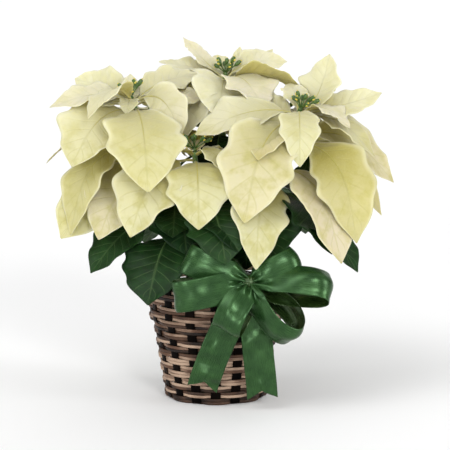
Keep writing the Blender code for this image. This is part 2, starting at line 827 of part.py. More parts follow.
def make_bow(collection):
    """Loops and tails of one ribbon, gathered at the waist."""
    bpy.ops.mesh.primitive_uv_sphere_add(segments=10, ring_count=6, radius=WAIST_RADIUS, location=BOW_WAIST)
    waist = adopt("ribbon_bow", collection, "ribbon_satin")
    sheets = [loop_sheet(loop) for loop in LOOPS] + [tail_sheet(LEFT_TAIL), tail_sheet(RIGHT_TAIL)]
    strips = []
    for points, faces in sheets:
        strip = mesh_object("strip", points, faces, collection, "ribbon_satin")
        thick = strip.modifiers.new("thickness", "SOLIDIFY")
        thick.thickness = RIBBON_THICKNESS
        thick.offset = 0.0
        strips.append(baked(strip))
    return fuse(waist, strips)


def make_wire(collection):
    """The tie wire: from the back of the bow's waist over the rim and down into the soil."""
    waist = BOW_WAIST + Vector((0, WAIST_RADIUS + GAP, 0))
    route = (
        waist, waist + mm(0, 6, 1.5), waist + mm(-1, 16, 4), waist + mm(-1, 27, 5),
        waist + mm(-2, 37, 3), waist + mm(-3, 46, -5), waist + mm(-3.5, 53, -16),
        Vector((SOIL_WIRE_FOOT.x, SOIL_WIRE_FOOT.y, 0.140)),
        Vector((SOIL_WIRE_FOOT.x, SOIL_WIRE_FOOT.y, 0.130)), SOIL_WIRE_FOOT,
    )
    return tube("bow_wire", route, [WIRE_RADIUS] * len(route), collection, "wire_green", sides=6)


def plant_stems(collection, neighbours):
    """The rods: the leafy stretch and the green top of each stem, and the cups on it."""
    lines = {name: stem_line(bloom) for name, bloom in BLOOMS.items()}
    rods, hubs = {}, {}
    for name, bloom in BLOOMS.items():
        line = lines[name]
        hub = bloom.hub * 0.001
        foot = stem_length(line)
        rods[name] = stem_rod(f"leafy_stem_{name}", line, hub + GAP, foot, collection, "leaf_green")
        hubs[name] = stem_rod(f"bloom_{name}", line, 0.0, hub, collection, "bract_cream")
        cups = make_cups(f"cups_{name}", bloom, line, collection)
        for solid in (rods[name], hubs[name], cups):
            neighbours.add_object(solid.name, solid)
    return lines, rods, hubs


def placed(specs, node, line, petiole, stations, neighbours, siblings):
    """The blades of the specs that find a clear place."""
    blades = [place_blade(node, spec, line, petiole, stations, neighbours, siblings) for spec in specs]
    return [blade for blade in blades if blade is not None]


def place_bracts(rules, hubs, lines, neighbours, siblings):
    bracts = {}
    for name, bloom in BLOOMS.items():
        specs, line, kin = rules(bloom), lines[name], siblings[name]
        bracts[name] = placed(specs, hubs[name].name, line, BRACT_PETIOLE, BRACT_STATIONS, neighbours, kin)
    return bracts


def place_leaves(rules, rods, lines, neighbours, siblings):
    leaves = {}
    for name, bloom in BLOOMS.items():
        specs, line, kin = rules(bloom), lines[name], siblings[name]
        leaves[name] = placed(specs, rods[name].name, line, LEAF_PETIOLE, LEAF_STATIONS, neighbours, kin)
    return leaves


def main():
    clear_scene()
    parts = new_collection("poinsettia")
    neighbours = Neighbours()
    for solid in (
        make_basket_wall(parts), make_basket_rim(parts), make_basket_base(parts),
        make_pot(parts), make_soil(parts), make_bow(parts), make_wire(parts),
    ):
        neighbours.add_object(solid.name, solid)
    lines, rods, hubs = plant_stems(parts, neighbours)

    # The listed blades find their places first, and the ones by rule fill in round them
    near_bracts = {name: Neighbours() for name in BLOOMS}
    near_leaves = {name: Neighbours() for name in BLOOMS}
    bracts = place_bracts(lambda bloom: bloom.bracts, hubs, lines, neighbours, near_bracts)
    leaves = place_leaves(lambda bloom: bloom.leaves, rods, lines, neighbours, near_leaves)
    more_bracts = place_bracts(spare_bracts, hubs, lines, neighbours, near_bracts)
    more_leaves = place_leaves(spare_leaves, rods, lines, neighbours, near_leaves)

    for name in BLOOMS:
        blades = bracts[name] + more_bracts[name]
        fuse(hubs[name], [make_blade(blade, BRACT_STATIONS, parts, "bract_cream") for blade in blades])
        blades = leaves[name] + more_leaves[name]
        fuse(rods[name], [make_blade(blade, LEAF_STATIONS, parts, "leaf_green") for blade in blades])


main()
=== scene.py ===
"""The looks of a poinsettia in a woven basket with a bow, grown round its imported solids, in metres, +Z up.

The origin is the middle of the basket's underside, and -Y is the front, where the bow hangs.
"""

import math
import random
from collections import namedtuple
from itertools import product

import bpy
import numpy as np
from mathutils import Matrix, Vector, noise
from mathutils.bvhtree import BVHTree


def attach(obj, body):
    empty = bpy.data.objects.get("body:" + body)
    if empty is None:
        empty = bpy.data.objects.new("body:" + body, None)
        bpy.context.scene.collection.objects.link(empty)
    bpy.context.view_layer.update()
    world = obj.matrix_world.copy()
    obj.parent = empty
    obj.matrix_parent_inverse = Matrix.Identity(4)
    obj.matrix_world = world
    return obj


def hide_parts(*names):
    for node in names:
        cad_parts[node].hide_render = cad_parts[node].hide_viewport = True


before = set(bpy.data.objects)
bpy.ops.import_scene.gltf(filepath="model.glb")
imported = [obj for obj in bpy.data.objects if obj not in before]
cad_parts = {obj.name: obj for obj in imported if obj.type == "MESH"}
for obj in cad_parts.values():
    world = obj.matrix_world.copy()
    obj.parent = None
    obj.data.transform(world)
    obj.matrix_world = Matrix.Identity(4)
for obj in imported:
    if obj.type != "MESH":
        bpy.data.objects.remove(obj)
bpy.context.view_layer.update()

# Shared with the solids: basket
WALL_HEIGHT = 0.148
WALL_THICKNESS = 0.005
BASE_RADIUS = 0.0645
BODY_TOP_RADIUS = 0.0800
BAND_HEIGHT = 0.096
BAND_RADIUS = 0.0845
BAND_TOP_RADIUS = 0.0865
BAND_STEP = 0.007
STAKES = 16
ROWS = 18
BASE_THICKNESS = 0.005
RIM_SECTION = 0.005
GAP = 0.0003

# Shared with the solids: pot and soil
POT_WALL = 0.002
POT_FOOT_RADIUS = 0.053
POT_TOP_RADIUS = 0.0725
POT_LIP_RADIUS = 0.0765
POT_LIP_HEIGHT = 0.009
POT_HEIGHT = 0.136
SOIL_EDGE = 0.127
SOIL_DOME = 0.006
HOLE_DEPTH = 0.025

# Shared with the solids: stems, blades and cups
STEM_FOOT_RADIUS = 0.0050
STEM_TOP_RADIUS = 0.0034
STEM_RISE = 0.10
BRACT_PETIOLE = 0.13
LEAF_PETIOLE = 0.26
PETIOLE_HALF_WIDTH = 0.0018
BLADE_WAVE = 0.10
BRACT_STATIONS = (0.0, 0.21, 0.44, 0.70)
LEAF_STATIONS = (0.0, 0.20, 0.44, 0.72)
LOBE_PITCH = 0.27
GOLDEN_ANGLE = math.radians(137.508)
FIRST_BRACT = 100.0
FIRST_LEAF = 30.0
CUP_LENGTH = 0.0235
CLUSTER_MIDDLE = 0.009

# Shared with the solids: ribbon bow
RIBBON_WIDTH = 0.038
BOW_WAIST = Vector((0.041, -0.113, 0.165))
WAIST_RADIUS = 0.009
LOOP_PINCH = 0.30
LOOP_SPREAD = 2.4
LOOP_START = 0.045
WIRE_RADIUS = 0.0009
SOIL_WIRE_FOOT = Vector((0.037, -0.046, 0.118))

# Fine detail of the blades
BLADE_ROWS = 54
BLADE_COLUMNS = 16
BRACT_THICKNESS = 0.00045
LEAF_THICKNESS = 0.0005
BRACT_VEINS = 8
LEAF_VEINS = 9
VEIN_SWEEP = 0.20
QUILT = 0.0007
FIT = 0.0012

# Camera of the photograph
VIEW_TARGET = Vector((0.0116, 0.0, 0.219))
VIEW_DISTANCE = 2.4
VIEW_ELEVATION = 8.0
SENSOR = 36.0
FOCAL_PIXELS = 1889.8
IMAGE_WIDTH = 450

# Fine detail of the basket
STRAND_THICKNESS = 0.0016
STRAND_SHARE = 0.47
FIRST_STRAND, NEXT_STRAND = 0.27, 0.46
REED_DEPTH = 0.0018
REED_SWING = 0.0017
REED_DRIFT_OUT, REED_DRIFT_UP = 0.0003, 0.0005
WEAVE_STEPS = 12 * STAKES
STAKE_WIDTH = 0.0125
STAKE_HALF_THICKNESS = 0.0007
STAKE_LEVELS = 40
RIM_STRANDS, RIM_TURNS, RIM_STEPS = 3, 12, 420
RIM_CANE_RADIUS = 0.0028
RIM_LAY_RADIUS = 0.0022
SPOKES, SPOKE_POINTS, SPOKE_RADIUS = 8, 24, 0.0028
FLOOR_ROUNDS, FLOOR_STEPS, FLOOR_REED_RADIUS = 15, 96, 0.0017
FLOOR_FIRST, FLOOR_MARGIN, FLOOR_LIFT = 0.008, 0.0095, 0.0009

# Fine detail of pot and soil
POT_STEPS, POT_SIDE_POINTS = 120, 12
POT_RIBS, POT_RIB_DEPTH = 24, 0.0003
SOIL_STEPS, SOIL_RINGS = 96, 26
SOIL_ROUGHNESS = 0.0011
CRUMBS, PERLITE_EVERY = 620, 9

# Bends tried to find a packed blade: degrees, millimetres, shares of its length, degrees
SHRINKS = (1.0, 0.8)
SWINGS = (0, -5, 5, -10, 10, -16, 16)
RISES = (0, -7, 7, -14, 14, -24, 24)
LIFTS = (0, -0.06, 0.06, -0.12, 0.12)
ROLLS = (0, -14, 14, -28, 28)

# Fine detail of the stems, blades and cups
STEM_STEP, STEM_INSET = 0.003, 0.97
JOINT_SPACING, JOINT_LENGTH, JOINT_SWELL = 0.026, 0.0028, 0.07
PETIOLE_ROWS, LAST_ROW, LEAST_HALF_WIDTH = 8, 0.995, 0.0002
MARGIN_WAVE, EDGE_WAVE, PUCKER = 0.10, 0.0016, 0.0009
KEEL_END, KEEL_SIDES, KEEL_DROP, KEEL_RADIUS, KEEL_LEAST = 0.86, 8, 0.0004, 0.0016, 0.00025
BUTTON_RADIUS, BUTTON_HEIGHT = 0.0031, 0.005
FIRST_CUP_TILT, CUP_TILTS = 8, 54
GLAND_POINTS, GLAND_RADIUS = 14, 0.0006
STAMENS, STAMEN_RADIUS = 5, 0.0003

# Fine detail of the ribbon: a crumple is the waves in a metre and their height
RIBBON_CURL = 0.0035
GATHERED_CRUMPLE, HUNG_CRUMPLE = (24, 0.0055), (60, 0.0035)
RIBBON_COLUMNS, LOOP_POINTS, TAIL_STEPS = 25, 72, 12
RIBBON_SHEET = 0.0004
TAIL_NOTCH = 0.012
KNOT_COLUMNS, KNOT_ROWS, KNOT_SHARE = 19, 49, 0.95

# The floor runs on out of view
FLOOR_REACH = 200.0
FLOOR_DROP = 0.0002

# Soft boxes in the sky: where they are, how sharp-edged and how bright
AMBIENT = 0.20
SOFTBOXES = (
    ((-0.55, -0.72, 0.95), 24.0, 5.0), ((0.10, 0.10, 0.95), 2.0, 0.52), ((0.20, 0.86, 0.50), 8.0, 1.1),
    ((0.92, -0.38, 0.22), 80.0, 15.0), ((-0.93, -0.35, 0.12), 100.0, 13.0),
    ((0.30, -0.92, 0.38), 210.0, 36.0), ((-0.30, -0.94, 0.12), 320.0, 34.0),
)

PLAIN_TINT = (0.5, 0.5, 0.5)

# A blade leaves its stem at drop below the bloom's top.
# Its tip lies at bearing and reach from the bloom's top, and rise above it.
# Bearings are in degrees from +X towards +Y, sizes in millimetres, lift is the arch over the length.
Bract = namedtuple("Bract", "bearing reach rise width drop lift roll cup", defaults=(6, 0.20, 0, 0.12))
Leaf = namedtuple("Leaf", "bearing reach rise width drop lift roll cup", defaults=(120, 0.16, 0, 0.14))
Bloom = namedtuple("Bloom", "middle lean foot hub cups bracts extra leaves leaf_extra")


def rows(kind, *values):
    return [kind(*row) for row in values]


BLOOMS = {
    "left": Bloom(
        middle=(-105, -15, 389), lean=(-0.30, -0.10), foot=(-33, -4), hub=108, cups=9,
        bracts=rows(
            Bract,
            (283, 108, -114, 98, 14, 0.20), (220, 93, -88, 88, 16, 0.20, -14),
            (327, 74, -53, 52, 6, 0.32, 34), (150, 86, 14, 58, 6, 0.12, -40),
            (186, 103, -19, 54, 8, 0.14, -24), (30, 96, 20, 52, 7, 0.10, 30), (6, 92, -8, 46, 9, 0.14, 34),
            (96, 28, 21, 26, 4, -0.06), (262, 36, -32, 26, 4, 0.30), (198, 64, -10, 24, 4, 0.06),
            (115, 86, -12, 56, 10, 0.16), (66, 84, -34, 58, 12, 0.24), (172, 111, -92, 56, 62, 0.26),
            (211, 87, -175, 62, 72, 0.30, -24), (209, 96, -180, 88, 100, 0.16, -58),
            (238, 74, -178, 78, 98, 0.20, -50),
        ),
        extra=3,
        leaves=rows(
            Leaf,
            (284, 92, -255, 90, 185, 0.22), (224, 70, -222, 70, 170, 0.20, -20),
            (312, 104, -208, 84, 150, 0.22),
        ),
        leaf_extra=4,
    ),
    "back_middle": Bloom(
        middle=(12, 55, 414), lean=(0.02, 0.06), foot=(4, 24), hub=62, cups=9,
        bracts=rows(
            Bract,
            (151, 63, 39, 44, 5, 0.04), (61, 40, 27, 26, 4, -0.11), (36, 77, 23, 42, 5, 0.00, 24),
            (14, 83, 8, 48, 6, 0.14, 34), (345, 97, -19, 62, 7, 0.18, -12), (303, 88, -46, 74, 8, 0.20),
            (167, 89, 8, 46, 7, 0.12, -30), (192, 98, -13, 56, 8, 0.14, -30), (209, 92, -38, 62, 10, 0.20),
            (228, 92, -98, 84, 20, 0.24, -20), (266, 92, -62, 84, 10, 0.22), (292, 96, -112, 80, 30, 0.22),
            (95, 78, -14, 52, 10, 0.20), (128, 86, -42, 58, 14, 0.24),
        ),
        extra=1,
        leaves=rows(
            Leaf,
            (256, 52, -132, 66, 68, 0.20), (292, 70, -205, 76, 150, 0.22),
        ),
        leaf_extra=5,
    ),
    "right": Bloom(
        middle=(105, -25, 375), lean=(0.28, -0.12), foot=(32, -8), hub=104, cups=9,
        bracts=rows(
            Bract,
            (46, 56, 60, 66, 5, -0.14), (235, 122, -137, 92, 14, 0.22, -30), (263, 81, -78, 50, 6, 0.28),
            (13, 107, 12, 50, 6, 0.10, 34), (338, 68, -28, 58, 7, 0.24), (354, 94, -66, 60, 14, 0.26, 30),
            (195, 135, -36, 64, 7, 0.12, -34), (229, 86, -55, 46, 5, 0.18), (62, 84, 42, 46, 8, 0.04),
            (314, 97, -166, 78, 44, 0.26, 28), (18, 128, -104, 66, 44, 0.22, 46),
            (26, 120, -148, 60, 62, 0.22, 46), (298, 102, -188, 88, 84, 0.24, 10),
            (243, 124, -192, 70, 98, 0.24, -20), (105, 90, -24, 56, 9, 0.18), (150, 92, -12, 54, 8, 0.16),
        ),
        extra=2,
        leaves=rows(
            Leaf,
            (328, 84, -206, 58, 130, 0.20, 20), (252, 96, -196, 84, 140, 0.24),
            (290, 88, -178, 78, 120, 0.22),
        ),
        leaf_extra=5,
    ),
    "front_low": Bloom(
        middle=(-26, -52, 327), lean=(-0.05, -0.24), foot=(-8, -30), hub=58, cups=6,
        bracts=rows(
            Bract,
            (218, 98, -108, 82, 12, 0.22, -34), (275, 66, -98, 78, 14, 0.28), (223, 44, -6, 32, 4, 0.14),
            (312, 62, -34, 40, 5, 0.24), (20, 58, -22, 36, 7, 0.22), (160, 60, -26, 38, 7, 0.20),
            (95, 40, 2, 28, 6, 0.12),
        ),
        extra=0,
        leaves=rows(
            Leaf,
            (296, 88, -138, 80, 74, 0.24), (340, 84, -120, 76, 66, 0.22, 14),
        ),
        leaf_extra=4,
    ),
    "back_left": Bloom(
        middle=(-72, 98, 362), lean=(-0.22, 0.30), foot=(-26, 34), hub=72, cups=7,
        bracts=(), extra=14, leaves=(), leaf_extra=5,
    ),
    "back_right": Bloom(
        middle=(84, 98, 356), lean=(0.24, 0.30), foot=(28, 32), hub=72, cups=7,
        bracts=(), extra=14, leaves=(), leaf_extra=5,
    ),
}

# Loops: angle, length, opening, forward tilt, roll and width in degrees and millimetres
Loop = namedtuple("Loop", "angle length opening forward roll width")
LOOPS = (
    Loop(159, 82, 12, -4, 0, 38),
    Loop(190, 90, 13, 8, 0, 38),
    Loop(24, 62, 12, -6, 0, 38),
    Loop(-5, 98, 19, 4, 40, 38),
    Loop(-49, 86, 20, 6, -40, 37),
    Loop(-116, 64, 15, 14, -16, 37),
)
LEFT_TAIL = ((38, -112, 158), (27, -106, 132), (12, -101, 103), (-2, -95, 70), (-12, -88, 42), (-17, -84, 25))
RIGHT_TAIL = ((43, -112, 158), (46, -106, 132), (50, -103, 100), (53, -100, 68), (56, -96, 40), (58, -92, 15))


def mm(*values):
    return Vector(values) * 0.001


# Geometry: everything is gathered in numpy arrays and made into one mesh a piece


class Builder:
    """Gathers points and faces, with a UV and a tint for each point and a finish for each face."""

    def __init__(self):
        self.points, self.uvs, self.tints = [], [], []
        self.faces, self.slots = [], []
        self.count = 0

    def add(self, points, uvs, faces, slot, tint=PLAIN_TINT):
        points = np.asarray(points, float).reshape(-1, 3)
        self.points.append(points)
        self.uvs.append(np.asarray(uvs, float).reshape(-1, 2))
        self.tints.append(np.tile((*tint, 1.0), (len(points), 1)))
        self.faces += [tuple(self.count + i for i in face) for face in faces]
        self.slots += slot if isinstance(slot, list) else [slot] * len(faces)
        self.count += len(points)

    def piece(self, name, finishes, slot, *nodes):
        """Makes the mesh, hangs it on the root body and hides the solids that it stands for. Its slot is not
        used.
        """
        mesh = bpy.data.meshes.new(name)
        mesh.from_pydata(np.concatenate(self.points).tolist(), [], self.faces)
        for finish in finishes:
            mesh.materials.append(finish)
        mesh.polygons.foreach_set("material_index", self.slots)
        mesh.polygons.foreach_set("use_smooth", [True] * len(self.faces))
        corner = np.empty(len(mesh.loops), int)
        mesh.loops.foreach_get("vertex_index", corner)
        surface = mesh.uv_layers.new(name="surface")
        surface.uv.foreach_set("vector", np.concatenate(self.uvs)[corner].ravel())
        tint = mesh.color_attributes.new("tint", "FLOAT_COLOR", "POINT")
        tint.data.foreach_set("color", np.concatenate(self.tints).ravel())
        mesh.update()
        obj = bpy.data.objects.new(name, mesh)
        bpy.context.scene.collection.objects.link(obj)
        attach(obj, "root")
        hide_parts(*nodes)
        return obj


def unit(rows):
    return rows / np.maximum(np.linalg.norm(rows, axis=-1, keepdims=True), 1e-12)


def headings(centres, closed):
    """The unit direction of a path at each of its points."""
    if closed:
        return unit(np.roll(centres, -1, axis=0) - np.roll(centres, 1, axis=0))
    return unit(np.gradient(centres, axis=0))


def carried_across(ahead):
    """A side direction carried along a path without twisting."""
    across = [np.array(Vector(ahead[0]).orthogonal().normalized())]
    for heading in ahead[1:]:
        side = across[-1] - heading * across[-1].dot(heading)
        across.append(side / np.linalg.norm(side))
    return np.array(across)


def lengths_along(points):
    return np.concatenate([[0.0], np.cumsum(np.linalg.norm(np.diff(points, axis=0), axis=1))])


def full_turn(steps):
    return np.linspace(0, 2 * math.pi, steps, endpoint=False)


def circle(angles, radius, height):
    """Points round Z, where the radius and the height are one number or one for each angle."""
    return np.stack(np.broadcast_arrays(radius * np.cos(angles), radius * np.sin(angles), height), axis=1)


def round_section(radius, sides=10):
    angles = full_turn(sides)
    return np.stack([radius * np.cos(angles), radius * np.sin(angles)], axis=1)


def tube_faces(rings, sides, closed=False, flipped=False):
    """The quads between rings of points, and from the last ring to the first if closed."""
    faces = []
    for i in range(rings if closed else rings - 1):
        this, following = i * sides, (i + 1) % rings * sides
        for k in range(sides):
            m = (k + 1) % sides
            quad = (this + k, this + m, following + m, following + k)
            faces.append((quad[0], quad[3], quad[2], quad[1]) if flipped else quad)
    return faces


def sweep(builder, centres, section, across=None, scale=None, closed=False, slot=0, tint=PLAIN_TINT):
    """Carries a section of (across, up) points along a path. Its UVs run along it and, mirrored, round it."""
    centres, section = np.asarray(centres, float), np.asarray(section, float)
    ahead = headings(centres, closed)
    across = carried_across(ahead) if across is None else np.asarray(across, float)
    across = unit(across - ahead * (across * ahead).sum(axis=1, keepdims=True))
    up = np.cross(ahead, across)
    scale = np.ones(len(centres)) if scale is None else np.asarray(scale, float)
    reach = section[None] * scale[:, None, None]
    rings = centres[:, None] + across[:, None] * reach[:, :, :1] + up[:, None] * reach[:, :, 1:]
    count, sides = len(centres), len(section)
    round_it = np.abs(np.linspace(-1, 1, sides, endpoint=False)) * np.abs(section).max()
    uvs = np.stack(np.broadcast_arrays(lengths_along(centres)[:, None], round_it[None, :]), axis=-1)
    faces = tube_faces(count, sides, closed)
    if not closed:
        faces += [tuple(range(sides - 1, -1, -1)), tuple((count - 1) * sides + k for k in range(sides))]
    builder.add(rings, uvs, faces, slot, tint)


def smooth_path(points, steps):
    """A smooth curve through points, with the same number of steps between each two."""
    points = [np.array(p, float) for p in points]
    points = [2 * points[0] - points[1], *points, 2 * points[-1] - points[-2]]
    path = []
    for a, b, c, d in zip(points, points[1:], points[2:], points[3:]):
        for i in range(steps):
            t = i / steps
            square, cube = (2 * a - 5 * b + 4 * c - d) * t**2, (3 * b - a - 3 * c + d) * t**3
            path.append(0.5 * (2 * b + (c - a) * t + square + cube))
    path.append(points[-2])
    return np.array(path)


def thick_sheet(builder, grid, uvs, thickness, slots, tint=PLAIN_TINT):
    """A closed sheet from a grid of points: the front, the back and the rim between them."""
    rows, columns = grid.shape[:2]
    normal = unit(np.cross(np.gradient(grid, axis=0), np.gradient(grid, axis=1)))
    front, back = grid + normal * thickness / 2, grid - normal * thickness / 2
    faces, sides = [], []
    half = rows * columns

    def at(r, c):
        return r * columns + c

    for r, c in product(range(rows - 1), range(columns - 1)):
        quad = (at(r, c), at(r + 1, c), at(r + 1, c + 1), at(r, c + 1))
        faces += [quad, tuple(half + i for i in reversed(quad))]
        sides += [slots[0], slots[1]]
    rim = [at(r, 0) for r in range(rows)] + [at(rows - 1, c) for c in range(1, columns)]
    rim += [at(r, columns - 1) for r in range(rows - 2, -1, -1)]
    rim += [at(0, c) for c in range(columns - 2, 0, -1)]
    for a, b in zip(rim, rim[1:] + rim[:1]):
        faces.append((b, a, half + a, half + b))
        sides.append(slots[0])
    points = np.concatenate([front.reshape(-1, 3), back.reshape(-1, 3)])
    builder.add(points, np.concatenate([uvs.reshape(-1, 2)] * 2), faces, sides, tint)


def wavering(point, seed, scale=1.0):
    """Smooth noise, from -1 to 1."""
    return noise.noise(Vector(point) * scale + Vector((seed * 7.31, seed * 3.17, seed * 1.93)))


# Materials


def feed(socket, value):
    """Links a value to a socket, or sets it. A colour comes without its alpha."""
    if isinstance(value, Value):
        socket.id_data.links.new(value.socket, socket)
    elif value is not None:
        socket.default_value = (*value, 1.0) if socket.type == "RGBA" else value


def make_node(tree, kind, *values, out=0, **settings):
    """Adds a shader node, feeds its first inputs and returns one of its outputs."""
    node = tree.nodes.new("ShaderNode" + kind)
    for name, value in settings.items():
        setattr(node, name, value)
    for socket, value in zip(node.inputs, values):
        feed(socket, value)
    return Value(node.outputs[out])


class Value:
    """The output of a node. Each step of its arithmetic is a node too."""

    def __init__(self, socket):
        self.socket = socket

    def math(self, operation, *others):
        return make_node(self.socket.id_data, "Math", self, *others, operation=operation)

    def __add__(self, other):
        return self.math("ADD", other)

    def __sub__(self, other):
        return self.math("SUBTRACT", other)

    def __mul__(self, other):
        return self.math("MULTIPLY", other)

    def ease(self, low, high, to_low=0.0, to_high=1.0):
        """A smooth step from to_low, where the value is low, to to_high."""
        tree = self.socket.id_data
        return make_node(tree, "MapRange", self, low, high, to_low, to_high, interpolation_type="SMOOTHSTEP")


class Recipe:
    """A Principled material, built node by node."""

    def __init__(self, name, **sockets):
        self.material = bpy.data.materials.new(name)
        self.material.use_nodes = True
        self.tree = self.material.node_tree
        self.shader = self.tree.nodes["Principled BSDF"]
        for socket, value in sockets.items():
            self.shader.inputs[socket.replace("_", " ")].default_value = value
        self.place = self.node("TexCoord", out="Object")

    def node(self, kind, *values, **settings):
        return make_node(self.tree, kind, *values, **settings)

    def parts(self, kind, value):
        """The parts of a vector or of a colour."""
        first = self.node(kind, value).socket.node
        return [Value(socket) for socket in first.outputs]

    def surface(self):
        """The two UV coordinates."""
        return self.parts("SeparateXYZ", self.node("UVMap", uv_map="surface"))[:2]

    def tint(self):
        return self.parts("SeparateColor", self.node("Attribute", attribute_name="tint", out="Color"))

    def coats(self, colour, *coats):
        """A colour with coats laid over it, each a share and a colour."""
        for share, coat in coats:
            node = self.tree.nodes.new("ShaderNodeMix")
            node.data_type = "RGBA"
            for index, value in ((0, share), (6, colour), (7, coat)):
                feed(node.inputs[index], value)
            colour = Value(node.outputs[2])
        return colour

    def ramp(self, share, *stops):
        value = self.node("ValToRGB", share)
        elements = value.socket.node.color_ramp.elements
        while len(elements) < len(stops):
            elements.new(0.5)
        for element, (position, colour) in zip(elements, stops):
            element.position = position
            element.color = (*colour, 1.0)
        return value

    def texture(self, kind, place, out, **inputs):
        node = self.tree.nodes.new("ShaderNodeTex" + kind)
        for name, value in inputs.items():
            node.inputs[name].default_value = value
        if kind == "Voronoi":
            node.feature = "DISTANCE_TO_EDGE"
        feed(node.inputs["Vector"], place)
        return Value(node.outputs[out])

    def noise(self, scale, detail=3.0, roughness=0.55, place=None):
        place = place or self.place
        return self.texture("Noise", place, 0, Scale=scale, Detail=detail, Roughness=roughness)

    def cells(self, scale):
        return self.texture("Voronoi", self.place, "Distance", Scale=scale)

    def colour(self, value):
        feed(self.shader.inputs["Base Color"], value)

    def rough(self, value):
        feed(self.shader.inputs["Roughness"], value)

    def bump(self, height, distance):
        node = self.tree.nodes.new("ShaderNodeBump")
        node.inputs["Strength"].default_value = 1.0
        node.inputs["Distance"].default_value = distance
        feed(node.inputs["Height"], height)
        feed(self.shader.inputs["Normal"], Value(node.outputs[0]))


def vein_mask(recipe, veins):
    """The veins and the midrib, from 0 to 1, with the way out from the midrib and the way along the blade."""
    u, share = recipe.surface()
    out = (u * 2.0 - 1.0).math("ABSOLUTE")
    phase = ((share - out.math("POWER", 0.85) * VEIN_SWEEP) * float(veins)).math("FRACT")
    side = (phase - 0.5).math("ABSOLUTE").ease(0.40, 0.50) * out.ease(1.0, 0.55)
    return side.math("MAXIMUM", out.ease(0.07, 0.015)), out, share


def bract_material(name, under):
    recipe = Recipe(
        name, Roughness=0.52, Specular_IOR_Level=0.35, Sheen_Weight=0.15, Sheen_Roughness=0.6,
        Subsurface_Weight=0.32, Subsurface_Radius=(1.0, 0.86, 0.30), Subsurface_Scale=0.0035,
    )
    veins, out, share = vein_mask(recipe, BRACT_VEINS)
    tint = recipe.tint()
    fine = recipe.noise(420.0, 4.0, 0.65)
    height = recipe.parts("SeparateXYZ", recipe.place)[2]
    # Painted shade, in part: gold at the foot of each bract and along its middle. Partly the bract's own
    # green-gold flush, partly shade under the cups and the bracts above.
    foot_flush_and_shade = share.ease(0.78, 0.05) * out.ease(1.0, 0.5, 0.6, 1.0) * tint[1].ease(0.0, 1.0, 0.5, 1.0)
    cream = recipe.coats(
        (0.57, 0.54, 0.30),
        (tint[0], (0.60, 0.50, 0.35)),
        # Painted shade: some bracts, picked at random, are darkened to gold as if they lay in shade.
        (tint[2].ease(0.60, 1.0, 0.0, 0.6), (0.38, 0.33, 0.065)),
        (recipe.noise(46.0).ease(0.42, 0.70, 0.0, 0.6), (0.38, 0.34, 0.075)),
        (foot_flush_and_shade, (0.27, 0.23, 0.016)),
        (veins * (0.5 if under else 0.3), (0.38, 0.34, 0.09)),
        (out.ease(0.80, 1.0, 0.0, 0.5), (0.70, 0.67, 0.47)),
        # Painted light: bracts higher up are whitened, as if lit more from above.
        (height.ease(0.30, 0.40, 0.0, 0.45), (0.74, 0.72, 0.54)),
    )
    # Painted shade: the underside is darkened to gold, as if in shade with light coming through the bract.
    if under:
        cream = recipe.coats(cream, (0.6, (0.40, 0.34, 0.04)))
    recipe.colour(recipe.coats(cream, (fine.ease(0.35, 0.8, 0.0, 0.12), (0.62, 0.58, 0.28))))
    net = recipe.cells(620.0).ease(0.0, 0.25)
    recipe.bump(net * 0.35 + veins * (1.0 if under else -1.0) + fine * 0.4, 0.0002)
    return recipe.material


def leaf_material(name, under):
    recipe = Recipe(
        name, Roughness=0.42, Specular_IOR_Level=0.12, Coat_Weight=0.0 if under else 0.05, Coat_Roughness=0.3,
        Subsurface_Weight=0.08, Subsurface_Radius=(0.3, 1.0, 0.15), Subsurface_Scale=0.002,
    )
    veins, out, share = vein_mask(recipe, LEAF_VEINS)
    dark = (0.025, 0.06, 0.018) if under else (0.0025, 0.011, 0.004)
    light = (0.050, 0.10, 0.030) if under else (0.009, 0.034, 0.009)
    recipe.colour(recipe.coats(
        dark,
        (recipe.noise(60.0, 4.0).ease(0.3, 0.75), light),
        (recipe.tint()[0] * 0.2, (0.04, 0.11, 0.02)),
        (veins * (0.5 if under else 0.25), (0.10, 0.17, 0.06)),
    ))
    recipe.rough(recipe.noise(520.0, 4.0, 0.6).ease(0.2, 0.8, 0.34, 0.52))
    net = recipe.cells(560.0).ease(0.0, 0.3)
    recipe.bump(net * 0.5 + veins * (1.0 if under else -1.0), 0.00025)
    return recipe.material


def stem_material(name):
    """Green at the top, woody and scarred at the foot."""
    recipe = Recipe(name, Roughness=0.5)
    height = recipe.parts("SeparateXYZ", recipe.place)[2]
    stretched = recipe.node("VectorMath", recipe.place, (1.0, 1.0, 0.06), operation="MULTIPLY")
    streaks = recipe.noise(900.0, 4.0, 0.6, stretched)
    spots = recipe.noise(240.0)
    wood = recipe.coats((0.10, 0.075, 0.035), (streaks.ease(0.3, 0.7), (0.22, 0.20, 0.10)))
    green = recipe.coats((0.07, 0.15, 0.035), (spots.ease(0.35, 0.7), (0.15, 0.25, 0.06)))
    recipe.colour(recipe.coats(wood, ((height + spots * 0.05).ease(0.17, 0.27), green)))
    recipe.bump(streaks, 0.0004)
    return recipe.material


def cup_material(name, low, high, scale):
    recipe = Recipe(name, Roughness=0.38, Subsurface_Weight=0.1, Subsurface_Scale=0.001)
    grain = recipe.noise(scale)
    recipe.colour(recipe.coats(low, (grain.ease(0.3, 0.7), high)))
    recipe.bump(grain, 0.0002)
    return recipe.material


